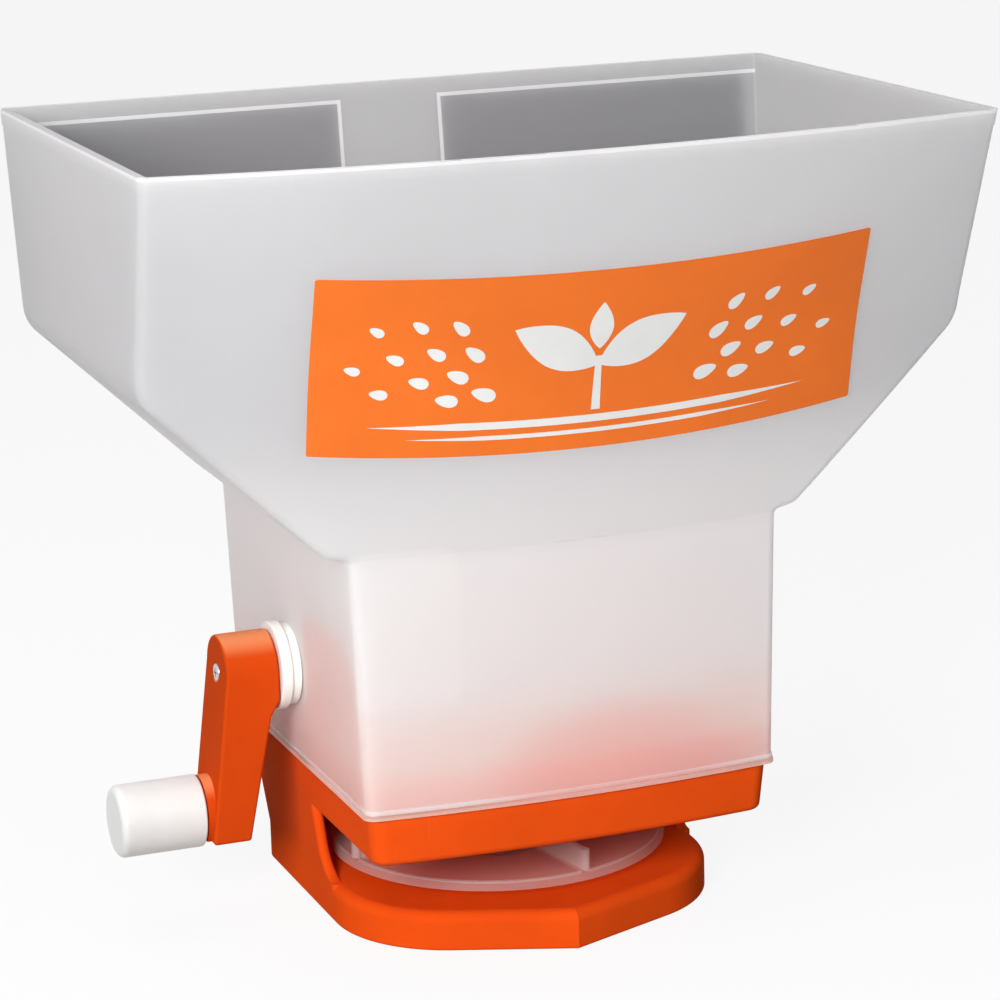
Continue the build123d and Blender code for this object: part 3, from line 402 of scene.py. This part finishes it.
def spot_group():
    """Soft mask of a rounded block: a ball at a Square of 2, a box with round corners at 8."""
    name = "soft_spot"
    if name in bpy.data.node_groups:
        return bpy.data.node_groups[name]
    sockets = []
    for letter in "XYZ":
        sockets.append(("Middle " + letter, "NodeSocketFloat", 0.0))
        sockets.append(("Half " + letter, "NodeSocketFloat", 0.1))
    sockets.append(("Square", "NodeSocketFloat", 2.0))
    sockets.append(("Inner", "NodeSocketFloat", 0.2))
    sockets.append(("Share", "NodeSocketFloat", 1.0))
    tree, source, sink = new_group(name, sockets, [("Mask", "NodeSocketFloat")])
    place = axes(tree, add(tree, "ShaderNodeTexCoord"), "Object")
    total = 0.0
    for letter in "XYZ":
        away = math_node(tree, "SUBTRACT", place[letter], source.outputs["Middle " + letter])
        away = math_node(tree, "ABSOLUTE", math_node(tree, "DIVIDE", away, source.outputs["Half " + letter]))
        total = math_node(tree, "ADD", math_node(tree, "POWER", away, source.outputs["Square"]), total)
    ease = add(tree, "ShaderNodeMapRange", interpolation_type="SMOOTHSTEP")
    ease.inputs["From Max"].default_value = 1.0
    ease.inputs["To Min"].default_value = 1.0
    ease.inputs["To Max"].default_value = 0.0
    tree.links.new(total, ease.inputs["Value"])
    tree.links.new(source.outputs["Inner"], ease.inputs["From Min"])
    mask = math_node(tree, "MULTIPLY", ease.outputs["Result"], source.outputs["Share"])
    tree.links.new(mask, sink.inputs["Mask"])
    return tree


def upward_group():
    """Mask of the faces that look up, for a painted highlight on tops."""
    name = "upward_faces"
    if name in bpy.data.node_groups:
        return bpy.data.node_groups[name]
    tree, source, sink = new_group(
        name,
        [
            ("Low", "NodeSocketFloat", 0.5),
            ("High", "NodeSocketFloat", 1.0),
            ("Share", "NodeSocketFloat", 0.3),
        ],
        [("Mask", "NodeSocketFloat")],
    )
    facing = axes(tree, add(tree, "ShaderNodeTexCoord"), "Normal")
    ease = add(tree, "ShaderNodeMapRange", interpolation_type="SMOOTHSTEP")
    tree.links.new(facing["Z"], ease.inputs["Value"])
    tree.links.new(source.outputs["Low"], ease.inputs["From Min"])
    tree.links.new(source.outputs["High"], ease.inputs["From Max"])
    mask = math_node(tree, "MULTIPLY", ease.outputs["Result"], source.outputs["Share"])
    tree.links.new(mask, sink.inputs["Mask"])
    return tree


def place_group(tree, group, **values):
    """A group node with values on its inputs."""
    node = tree.nodes.new("ShaderNodeGroup")
    node.node_tree = group
    for key, value in values.items():
        node.inputs[key.replace("_", " ")].default_value = value
    return node


def mix_colour(tree, factor, a, b, blend="MIX"):
    """A colour mix whose inputs are sockets or values."""
    node = tree.nodes.new("ShaderNodeMix")
    node.data_type = "RGBA"
    node.blend_type = blend
    for i, value in ((0, factor), (6, a), (7, b)):
        if hasattr(value, "is_output"):
            tree.links.new(value, node.inputs[i])
        elif i == 0:
            node.inputs[i].default_value = value
        else:
            node.inputs[i].default_value = (*value[:3], 1.0)
    return node.outputs[2]


def spread(tree, value, low, high, to_low, to_high):
    """A value moved from one span to another."""
    node = add(tree, "ShaderNodeMapRange")
    node.inputs["From Min"].default_value = low
    node.inputs["From Max"].default_value = high
    node.inputs["To Min"].default_value = to_low
    node.inputs["To Max"].default_value = to_high
    tree.links.new(value, node.inputs["Value"])
    return node.outputs["Result"]


def bump(tree, height, strength, distance):
    """A bump from a height."""
    node = add(tree, "ShaderNodeBump", Strength=strength, Distance=distance)
    tree.links.new(height, node.inputs["Height"])
    return node.outputs["Normal"]


def shade(colour, share):
    """A darker or lighter copy of a colour."""
    return tuple(max(0.0, min(1.0, c * share)) for c in colour)


def mottled(tree, detail, low, high):
    """The slow mottling, spread between two values."""
    return spread(tree, detail.outputs["Mottle"], *MOTTLE_SPAN, low, high)


def mottled_tone(tree, detail, colour, shades):
    """A colour that drifts between a darker and a lighter shade."""
    share = mottled(tree, detail, 0.0, 1.0)
    return mix_colour(tree, share, shade(colour, shades[0]), shade(colour, shades[1]))


def print_panels(tree, tone, panels):
    """A colour with label panels and their borders laid over it."""
    for panel in panels:
        mask = place_group(tree, panel_group(), **panel["place"])
        tone = mix_colour(tree, mask.outputs["Panel"], tone, panel["ground"])
        tone = mix_colour(tree, mask.outputs["Frame"], tone, panel["frame"])
    return tone


def moulded(name, colour, rough, grain, coat=0.0, scuff=0.25, depth=0.00006, specular=0.5, alpha=1.0,
            painted_top_highlight=None, panels=()):
    """Moulded plastic with grain, mottling, light scuffs, a painted highlight on its tops and label panels.
    """
    mat, tree, out = new_material(name)
    surface = add(tree, "ShaderNodeBsdfPrincipled")
    surface.inputs["Specular IOR Level"].default_value = specular
    surface.inputs["Alpha"].default_value = alpha
    surface.inputs["Coat Weight"].default_value = coat
    surface.inputs["Coat Roughness"].default_value = COAT_ROUGH
    detail = place_group(tree, moulded_group(), Grain=1.0 / grain, Mottle_Scale=MOULDED["mottle"])
    tone = mottled_tone(tree, detail, colour, MOULDED["shades"])
    worn = math_node(tree, "MULTIPLY", detail.outputs["Scuff"], scuff)
    pale = tuple(c + (SCUFF_PALE - c) * SCUFF_FADE for c in colour)
    tone = mix_colour(tree, worn, tone, pale)
    # painted highlight: a paler tone on faces that look up, standing in for gloss
    if painted_top_highlight:
        mask = place_group(tree, upward_group(), Share=painted_top_highlight["share"])
        tone = mix_colour(tree, mask.outputs["Mask"], tone, painted_top_highlight["tone"])
    tone = print_panels(tree, tone, panels)
    tree.links.new(tone, surface.inputs["Base Color"])
    gloss = mottled(tree, detail, *(rough + step for step in MOULDED["gloss"]))
    tree.links.new(gloss, surface.inputs["Roughness"])
    normal = bump(tree, detail.outputs["Height"], MOULDED["bump"], depth)
    tree.links.new(normal, surface.inputs["Normal"])
    tree.links.new(surface.outputs[0], out.inputs[0])
    return mat


def milky(name, colour, glow, clear, rough, specular, grain, panels, tints, spots, inner):
    """Milky plastic that lets scattered light through, with labels showing on its back wall, painted light in
    height bands and soft spots, and painted shade on its inner walls.
    """
    mat, tree, out = new_material(name)
    surface = add(tree, "ShaderNodeBsdfPrincipled")
    surface.inputs["Specular IOR Level"].default_value = specular
    through = add(tree, "ShaderNodeBsdfTranslucent")
    through.inputs["Color"].default_value = (*glow, 1.0)
    mixer = add(tree, "ShaderNodeMixShader")
    mixer.inputs[0].default_value = clear
    detail = place_group(tree, moulded_group(), Grain=1.0 / grain, Mottle_Scale=MILKY["mottle"])
    tone = mottled_tone(tree, detail, colour, MILKY["shades"])
    worn = math_node(tree, "MULTIPLY", detail.outputs["Scuff"], MILKY_SCUFF)
    tone = mix_colour(tree, worn, tone, MILKY_SCUFF_TINT)
    # painted light in height bands: lit neck and shoulder, glow of the orange parts, highlights on bead and
    # lip
    for low, high, tint in tints:
        mask = place_group(tree, height_group(), Low=low, High=high)
        tone = mix_colour(tree, mask.outputs["Share"], tint, tone)
    # painted glow, show-through and highlights in soft spots
    for place, tint in spots:
        mask = place_group(tree, spot_group(), **place)
        tone = mix_colour(tree, mask.outputs["Mask"], tone, tint)
    # painted shade: a darker grey on the walls that face inward
    mask = place_group(tree, inner_group(), **inner["place"])
    tone = mix_colour(tree, mask.outputs["Mask"], tone, inner["tone"])
    tone = print_panels(tree, tone, panels)
    tree.links.new(tone, surface.inputs["Base Color"])
    gloss = mottled(tree, detail, *(rough + step for step in MILKY["gloss"]))
    tree.links.new(gloss, surface.inputs["Roughness"])
    normal = bump(tree, detail.outputs["Height"], MILKY["bump"], MILKY["depth"])
    tree.links.new(normal, surface.inputs["Normal"])
    tree.links.new(surface.outputs[0], mixer.inputs[1])
    tree.links.new(through.outputs[0], mixer.inputs[2])
    tree.links.new(mixer.outputs[0], out.inputs[0])
    return mat


def plated(name, colour):
    """Zinc plated steel with fine turning marks."""
    mat, tree, out = new_material(name)
    surface = add(tree, "ShaderNodeBsdfPrincipled")
    surface.inputs["Metallic"].default_value = 1.0
    detail = place_group(tree, moulded_group(), Grain=STEEL_GRAIN, Mottle_Scale=STEEL["mottle"])
    tone = mottled_tone(tree, detail, colour, STEEL["shades"])
    tree.links.new(tone, surface.inputs["Base Color"])
    tree.links.new(mottled(tree, detail, *STEEL["gloss"]), surface.inputs["Roughness"])
    normal = bump(tree, detail.outputs["Height"], STEEL["bump"], STEEL["depth"])
    tree.links.new(normal, surface.inputs["Normal"])
    tree.links.new(surface.outputs[0], out.inputs[0])
    return mat


def dress(material, *nodes):
    """Gives CAD nodes one material."""
    for node in nodes:
        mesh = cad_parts[node].data
        mesh.materials.clear()
        mesh.materials.append(material)


def plastic():
    """The moulded pieces' settings."""
    return bpy.context.scene.spreader_plastic


def print_settings():
    """The printed pieces' settings."""
    return bpy.context.scene.spreader_print


def label_panel(node, ground, frame_tone, border, outward=0.0):
    """Where a rear label shows on the back wall, carried outward past its outer end."""
    low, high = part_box(node)
    middle = (low[0] + high[0]) / 2
    place = {
        "Middle_X": middle + math.copysign(outward / 2, middle),
        "Half_X": (high[0] - low[0]) / 2 + outward / 2,
        "Middle_Z": (low[2] + high[2]) / 2,
        "Half_Z": (high[2] - low[2]) / 2,
        "Border": border,
        "Behind_Y": LABEL_BEHIND,
    }
    return {"place": place, "ground": ground, "frame": frame_tone}


def block(middle, half, square, inner, share):
    """Place and softness of a soft spot."""
    place = {"Square": square, "Inner": inner, "Share": share}
    for letter, at, reach in zip("XYZ", middle, half):
        place["Middle_" + letter] = at
        place["Half_" + letter] = reach
    return place


# Pieces


class SPREADER_OT_hopper(bpy.types.Operator):
    """Dresses the hopper in milky plastic with the rear labels showing through, and paints light, glow and
    shade onto its walls
    """

    bl_idname = "spreader.hopper"
    bl_label = "Hopper"

    def execute(self, context):
        look = plastic()
        ink = print_settings()
        panels = []
        for node in LABELS:
            panels.append(label_panel(node, ink.label, PALE_PRINT, ink.border, outward=LABEL_RUN))
        low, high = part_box("hopper")
        tints = []
        for name, start, end in TINT_BANDS:
            tints.append((low[2] + start, low[2] + end, getattr(look, name)))
        # painted shade reaches this far down the inner walls
        walls = {"Middle_Y": (low[1] + high[1]) / 2, "Above": high[2] - INNER_SHADE_DEPTH}
        mat = milky(
            "hopper_plastic", look.hopper, look.glow, look.clear, rough=0.38, specular=0.25, grain=look.grain,
            panels=panels, tints=tints, spots=self.spots(look, low, high),
            inner={"place": walls, "tone": look.inside},
        )
        dress(mat, "hopper")
        return {"FINISHED"}

    def spots(self, look, low, high):
        """Painted light on the walls: glow and show-through of the pieces behind them, a pale patch, and a
        painted highlight along the rim's edge.
        """
        crank_low, crank_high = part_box("crank_bushing")
        axle_y = (crank_low[1] + crank_high[1]) / 2
        axle_z = (crank_low[2] + crank_high[2]) / 2
        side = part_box("bushing_nut")[0][0]
        foot = low[2]
        wide = 1.0
        # painted highlight along the rim's top edge
        rim = block(
            middle=(0.0, 0.0, high[2]), half=(wide, wide, 0.0013), square=8.0, inner=0.3, share=0.9
        )
        # painted glow of the orange gear housing through the neck's front
        glow = block(
            middle=(0.016, 0.0, foot + 0.006), half=(0.06, wide, 0.032), square=2.0, inner=0.0, share=0.6
        )
        # painted pale patch on the neck's front, of the pieces behind it showing through
        pane = block(
            middle=(-0.062, low[1], foot + 0.066), half=(0.0215, 0.08, 0.028),
            square=8.0, inner=0.75, share=0.5,
        )
        # painted pink glow of the orange bridge through the neck's side
        bridge = block(
            middle=(side, -0.042, foot + 0.024), half=(0.012, 0.036, 0.04), square=4.0, inner=0.15, share=0.75
        )
        # painted show-through of the cream nut behind the neck's side
        nut = block(
            middle=(side, axle_y, axle_z), half=(0.012, 0.021, 0.0185), square=2.0, inner=0.55, share=0.9
        )
        return (
            (glow, look.painted_glow_spot),
            (pane, look.painted_bead_highlight),
            (bridge, look.painted_blush_glow),
            (nut, look.cream),
            (rim, look.painted_bead_highlight),
        )


class SPREADER_OT_base(bpy.types.Operator):
    """Dresses the base, the gate and the gear housing"""

    bl_idname = "spreader.base"
    bl_label = "Base"

    def execute(self, context):
        look = plastic()
        orange = moulded(
            "orange_plastic", look.orange, rough=0.46, grain=look.grain, scuff=0.12, specular=MATT_SPECULAR
        )
        dress(orange, "base_housing", "flow_gate", "gear_bridge", "gear_housing")
        inner = moulded("white_plastic", look.cream, rough=0.5, grain=look.grain, scuff=0.1)
        dress(inner, "gate_guide", "agitator", "bushing_nut")
        return {"FINISHED"}


class SPREADER_OT_crank(bpy.types.Operator):
    """Dresses the crank's arm, bushing, knob and metal"""

    bl_idname = "spreader.crank"
    bl_label = "Crank"

    def execute(self, context):
        look = plastic()
        # painted highlight on the arm's tops
        painted_top_highlight = {"tone": look.painted_top_highlight, "share": 0.75}
        # painted shade: the arm gets a darker copy of the base's orange
        painted_shade_orange = shade(look.orange, 0.72)
        arm = moulded(
            "arm_plastic", painted_shade_orange, rough=0.42, grain=look.grain, scuff=0.12, specular=MATT_SPECULAR,
            painted_top_highlight=painted_top_highlight,
        )
        dress(arm, "crank_arm")
        bushing = moulded("bushing_plastic", look.cream, rough=0.4, grain=look.grain, scuff=0.1)
        dress(bushing, "crank_bushing")
        knob = moulded(
            "knob_plastic", look.white, rough=0.33, grain=look.grain, coat=0.15, scuff=0.15, depth=0.00003
        )
        dress(knob, "crank_knob")
        steel = plated("zinc_steel", ZINC_TINT)
        dress(steel, "crank_shaft", "crank_screw", "gear_screw", "knob_pin", "spinner_shaft", "thrust_washer")
        dress(steel, "spinner_nut", "bridge_screws", "housing_screws", "gate_screws")
        return {"FINISHED"}


class SPREADER_OT_spinner(bpy.types.Operator):
    """Dresses the spinner disc and the gears"""

    bl_idname = "spreader.spinner"
    bl_label = "Spinner"

    def execute(self, context):
        look = plastic()
        disc = moulded(
            "disc_plastic", DISC_TINT, rough=0.35, grain=look.grain, scuff=0.1, specular=0.2, alpha=0.2
        )
        dress(disc, "spinner_disc")
        gear = moulded("gear_plastic", GEAR_TINT, rough=0.45, grain=look.grain, scuff=0.05)
        dress(gear, "drive_gear", "pinion_gear", "upper_bushing", "lower_bushing")
        return {"FINISHED"}


def leaf_outline(length, width, count=18, bluntness=0.85, heel=1.15, taper=0.3):
    """Points of a pointed leaf that lies along +X from the origin, fuller at its heel."""
    upper = []
    for i in range(count + 1):
        t = i / count
        upper.append((length * t, width / 2 * math.sin(math.pi * t) ** bluntness * (heel - taper * t)))
    lower = [(x, -y) for x, y in reversed(upper[1:-1])]
    return upper + lower


def seed_outline(length, width, count=20, taper=0.3):
    """Points of an oval seed about the origin, slimmer at its outer end."""
    pts = []
    for i in range(count):
        a = 2 * math.pi * i / count
        pts.append((length / 2 * math.cos(a), width / 2 * math.sin(a) * (1.0 - taper * math.cos(a))))
    return pts


def stripe_outline(line, thick, sharpness=5):
    """Points of a stripe of one thickness that tapers at both ends."""
    upper = []
    lower = []
    last = len(line) - 1
    for i, (x, z) in enumerate(line):
        half = thick / 2 * min(1.0, sharpness * min(i, last - i) / last)
        if 0 < i < last:
            upper.append((x, z + half))
            lower.append((x, z - half))
        else:
            upper.append((x, z))
    return upper + list(reversed(lower))


def turned(points, angle, x, z):
    """Points turned and moved in the decal's plane."""
    c = math.cos(angle)
    s = math.sin(angle)
    return [(x + px * c - pz * s, z + px * s + pz * c) for px, pz in points]


def lay_print(name, outlines, target, material):
    """Flat outlines laid on the face of a CAD node as seen from the front, as one thin print."""
    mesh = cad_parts[target].data
    points = [v.co.copy() for v in mesh.vertices]
    tree = BVHTree.FromPolygons(points, [p.vertices[:] for p in mesh.polygons])
    bm = bmesh.new()
    for outline in outlines:
        bm.faces.new([bm.verts.new((x, 0.0, z)) for x, z in outline])
    bmesh.ops.triangulate(bm, faces=bm.faces[:])
    for _ in range(PRINT_PASSES):
        long_edges = [e for e in bm.edges if e.calc_length() > PRINT_EDGE]
        if not long_edges:
            break
        bmesh.ops.subdivide_edges(bm, edges=long_edges, cuts=1)
        bmesh.ops.triangulate(bm, faces=[f for f in bm.faces if len(f.verts) > 3])
    for v in bm.verts:
        hit = tree.ray_cast(Vector((v.co.x, PRINT_FROM, v.co.z)), Vector((0, 1, 0)))
        if hit[0] is None:
            raise RuntimeError("print lies off its surface at %.4f %.4f" % (v.co.x, v.co.z))
        v.co = hit[0] + Vector((0, -PRINT_LIFT, 0))
    bmesh.ops.recalc_face_normals(bm, faces=bm.faces[:])
    for f in bm.faces:
        if f.normal.y > 0:
            f.normal_flip()
        f.smooth = True
    data = bpy.data.meshes.new(name)
    bm.to_mesh(data)
    bm.free()
    data.materials.append(material)
    obj = bpy.data.objects.new(name, data)
    bpy.context.scene.collection.objects.link(obj)
    return obj


class SPREADER_OT_print(bpy.types.Operator):
    """Lays a plain sprout and scattered seeds on the orange decal, and dresses the labels"""

    bl_idname = "spreader.print"
    bl_label = "Print"

    def execute(self, context):
        ink = print_settings()
        look = plastic()
        grain = look.grain * PRINT_GRAIN
        ground = moulded(
            "decal_print", ink.field, rough=0.4, grain=grain, scuff=0.08, depth=PRINT_DEPTH, specular=0.2
        )
        dress(ground, "front_decal")
        for node in LABELS:
            panel = label_panel(node, ink.label, PALE_PRINT, ink.border)
            name = node + "_print"
            dress(moulded(name, ink.label, rough=0.4, grain=look.grain, scuff=0.1, panels=[panel]), node)
        shapes = self.sprout(ink) + self.furrows(ink)
        for side in (-1, 1):
            shapes += self.thrown_seeds(ink, side)
        motif = moulded("decal_motif", ink.motif, rough=0.4, grain=grain, scuff=0.05, depth=PRINT_DEPTH)
        obj = lay_print("decal_motif", shapes, "front_decal", motif)
        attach(obj, "base")
        return {"FINISHED"}

    def edges(self, ink, x):
        """Lower and upper edge of the decal at a place across it."""
        low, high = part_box("front_decal")
        half = (high[0] - low[0]) / 2
        share = 1 - ((x - (low[0] + high[0]) / 2) / half) ** 2
        return low[2] + ink.dip_low * (1 - share), high[2] - ink.dip_high * share

    def middle(self):
        """Middle of the decal across its width."""
        low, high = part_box("front_decal")
        return (low[0] + high[0]) / 2

    def sprout(self, ink):
        """A stem with two open leaves and a bud."""
        x = self.middle()
        foot = self.edges(ink, x)[0] + 0.0135
        top = foot + 0.019
        thick = 0.0016
        slim = 0.0011
        shapes = [[(x - thick, foot), (x + thick, foot), (x + slim, top), (x - slim, top)]]
        leaf = leaf_outline(length=0.034, width=0.0145)
        bud = leaf_outline(length=0.0165, width=0.0085)
        for angle in (26, 154):
            shapes.append(turned(leaf, math.radians(angle), x, top - 0.003))
        shapes.append(turned(bud, math.radians(90), x, top + 0.0025))
        return shapes

    def furrows(self, ink):
        """Two stripes that follow the lower edge."""
        x = self.middle()
        steps = 40
        shapes = []
        for lift, reach, thick in ((0.0105, 0.079, 0.0026), (0.0062, 0.066, 0.0015)):
            line = []
            for i in range(steps + 1):
                at = x + reach * (2 * i / steps - 1)
                line.append((at, self.edges(ink, at)[0] + lift))
            shapes.append(stripe_outline(line, thick))
        return shapes

    def thrown_seeds(self, ink, side):
        """Seeds flung outward in widening rows."""
        x = self.middle()
        heart = self.edges(ink, x)[0] + 0.012
        first_row = 0.042
        row_step = 0.0118
        largest = 0.0088
        shrink = 0.0008
        slimness = 0.52
        first_angle = 7
        angle_step = 11.5
        flatness = 0.8
        clear_below = 0.0165
        clear_above = 0.0075
        shapes = []
        for row in range(ink.rows):
            reach = first_row + row_step * row
            size = largest - shrink * row
            for i in range(row + 2):
                angle = math.radians(first_angle + angle_step * (i + 0.5 * (row % 2)))
                at = x + side * reach * math.cos(angle)
                z = heart + reach * math.sin(angle) * flatness
                low, high = self.edges(ink, at)
                if not low + clear_below < z < high - clear_above:
                    continue
                turn = angle if side > 0 else math.pi - angle
                shapes.append(turned(seed_outline(size, size * slimness), turn, at, z))
        return shapes


# Stage


def seen_directly(tree):
    """One for rays from the camera, off a shiny face or through a clear piece."""
    path = add(tree, "ShaderNodeLightPath")
    seen = math_node(tree, "MAXIMUM", path.outputs["Is Camera Ray"], path.outputs["Is Glossy Ray"])
    return math_node(tree, "MAXIMUM", seen, path.outputs["Is Transmission Ray"])


def area_lamp(name, place, aim, size, power):
    """A soft square lamp that faces a point."""
    data = bpy.data.lights.new(name, "AREA")
    data.energy = power
    data.size = size
    lamp = bpy.data.objects.new(name, data)
    lamp.location = place
    lamp.rotation_euler = (Vector(aim) - Vector(place)).to_track_quat("-Z", "Y").to_euler()
    bpy.context.scene.collection.objects.link(lamp)


class SPREADER_OT_stage(bpy.types.Operator):
    """Sets the floor, the light and the camera"""

    bl_idname = "spreader.stage"
    bl_label = "Stage"

    def execute(self, context):
        scene = bpy.context.scene
        scene.view_settings.view_transform = "Standard"
        self.floor()
        self.light(scene)
        self.camera(scene)
        return {"FINISHED"}

    def floor(self):
        """A wide pale floor, near white from above with a soft shadow, and clear from below."""
        mat, tree, out = new_material("stage_floor")
        bounce = add(tree, "ShaderNodeBsdfDiffuse")
        bounce.inputs["Color"].default_value = (FLOOR_BOUNCE, FLOOR_BOUNCE, FLOOR_BOUNCE, 1)
        ground = add(tree, "ShaderNodeBsdfDiffuse")
        ground.inputs["Color"].default_value = (FLOOR_SHOWN, FLOOR_SHOWN, FLOOR_SHOWN, 1)
        white = add(tree, "ShaderNodeEmission")
        white.inputs["Color"].default_value = (1, 1, 1, 1)
        shown = add(tree, "ShaderNodeMixShader")
        shown.inputs[0].default_value = FLOOR_WHITE
        tree.links.new(ground.outputs[0], shown.inputs[1])
        tree.links.new(white.outputs[0], shown.inputs[2])
        mixer = add(tree, "ShaderNodeMixShader")
        tree.links.new(seen_directly(tree), mixer.inputs[0])
        tree.links.new(bounce.outputs[0], mixer.inputs[1])
        tree.links.new(shown.outputs[0], mixer.inputs[2])
        clear = add(tree, "ShaderNodeBsdfTransparent")
        below = add(tree, "ShaderNodeNewGeometry")
        sides = add(tree, "ShaderNodeMixShader")
        tree.links.new(below.outputs["Backfacing"], sides.inputs[0])
        tree.links.new(mixer.outputs[0], sides.inputs[1])
        tree.links.new(clear.outputs[0], sides.inputs[2])
        tree.links.new(sides.outputs[0], out.inputs[0])
        bm = bmesh.new()
        bmesh.ops.create_grid(bm, x_segments=1, y_segments=1, size=FLOOR_HALF)
        data = bpy.data.meshes.new("stage_floor")
        bm.to_mesh(data)
        bm.free()
        data.materials.append(mat)
        obj = bpy.data.objects.new("stage_floor", data)
        obj.location = (0, 0, -FLOOR_DROP)
        bpy.context.scene.collection.objects.link(obj)

    def light(self, scene):
        """Soft lamps on a white surround."""
        world = bpy.data.worlds.new("studio")
        world.use_nodes = True
        scene.world = world
        tree = world.node_tree
        tree.nodes.clear()
        out = tree.nodes.new("ShaderNodeOutputWorld")
        soft = add(tree, "ShaderNodeBackground")
        soft.inputs["Color"].default_value = (*WORLD_TINT, 1)
        soft.inputs["Strength"].default_value = WORLD_LIGHT
        white = add(tree, "ShaderNodeBackground")
        white.inputs["Color"].default_value = (1, 1, 1, 1)
        mixer = add(tree, "ShaderNodeMixShader")
        tree.links.new(seen_directly(tree), mixer.inputs[0])
        tree.links.new(soft.outputs[0], mixer.inputs[1])
        tree.links.new(white.outputs[0], mixer.inputs[2])
        tree.links.new(mixer.outputs[0], out.inputs[0])
        area_lamp("key", place=(-0.84, -1.14, 0.62), aim=(0, 0, 0.12), size=0.45, power=20.5)
        area_lamp("fill", place=(1.3, -0.8, 0.8), aim=(0, 0, 0.12), size=1.2, power=1.0)
        area_lamp("top", place=(-0.55, -0.1, 1.75), aim=(0, 0, 0.2), size=0.9, power=10.5)

    def camera(self, scene):
        """The photograph's viewpoint."""
        azimuth = math.radians(-20.3)
        rise = math.radians(13.84)
        roll = math.radians(1.66)
        reach = 1.26208
        aim = Vector((0.003735, 0.0, 0.144574))
        level = math.cos(rise)
        back = Vector((math.sin(azimuth) * level, -math.cos(azimuth) * level, math.sin(rise)))
        right = Vector((math.cos(azimuth), math.sin(azimuth), 0.0))
        up = back.cross(right)
        across = right * math.cos(roll) - up * math.sin(roll)
        upward = right * math.sin(roll) + up * math.cos(roll)
        data = bpy.data.cameras.new("photo_camera")
        data.sensor_width = 36.0
        data.lens = 126.0
        data.clip_end = 50.0
        cam = bpy.data.objects.new("photo_camera", data)
        place = aim + back * reach
        cam.matrix_world = Matrix((
            (across.x, upward.x, back.x, place.x),
            (across.y, upward.y, back.y, place.y),
            (across.z, upward.z, back.z, place.z),
            (0, 0, 0, 1),
        ))
        scene.collection.objects.link(cam)
        scene.camera = cam


class SPREADER_PT_panel(bpy.types.Panel):
    """Lists the spreader's pieces and settings"""

    bl_idname = "SPREADER_PT_panel"
    bl_label = "Garden Spreader"
    bl_space_type = "VIEW_3D"
    bl_region_type = "UI"
    bl_category = "Spreader"

    def draw(self, context):
        for group in (context.scene.spreader_plastic, context.scene.spreader_print):
            column = self.layout.column(align=True)
            for key in group.__annotations__:
                column.prop(group, key)
        for step in STEPS:
            self.layout.operator(step.bl_idname)


STEPS = (
    SPREADER_OT_hopper,
    SPREADER_OT_base,
    SPREADER_OT_crank,
    SPREADER_OT_spinner,
    SPREADER_OT_print,
    SPREADER_OT_stage,
)
CLASSES = (SpreaderPlastic, SpreaderPrint) + STEPS + (SPREADER_PT_panel,)


def register():
    """Adds the classes and the scene's settings."""
    for cls in CLASSES:
        bpy.utils.register_class(cls)
    bpy.types.Scene.spreader_plastic = PointerProperty(type=SpreaderPlastic)
    bpy.types.Scene.spreader_print = PointerProperty(type=SpreaderPrint)


def unregister():
    """Removes what register added."""
    del bpy.types.Scene.spreader_print
    del bpy.types.Scene.spreader_plastic
    for cls in reversed(CLASSES):
        bpy.utils.unregister_class(cls)


def main():
    """Builds every piece and the stage."""
    register()
    for step in STEPS:
        area, name = step.bl_idname.split(".")
        getattr(getattr(bpy.ops, area), name)()


if __name__ == "__main__":
    main()
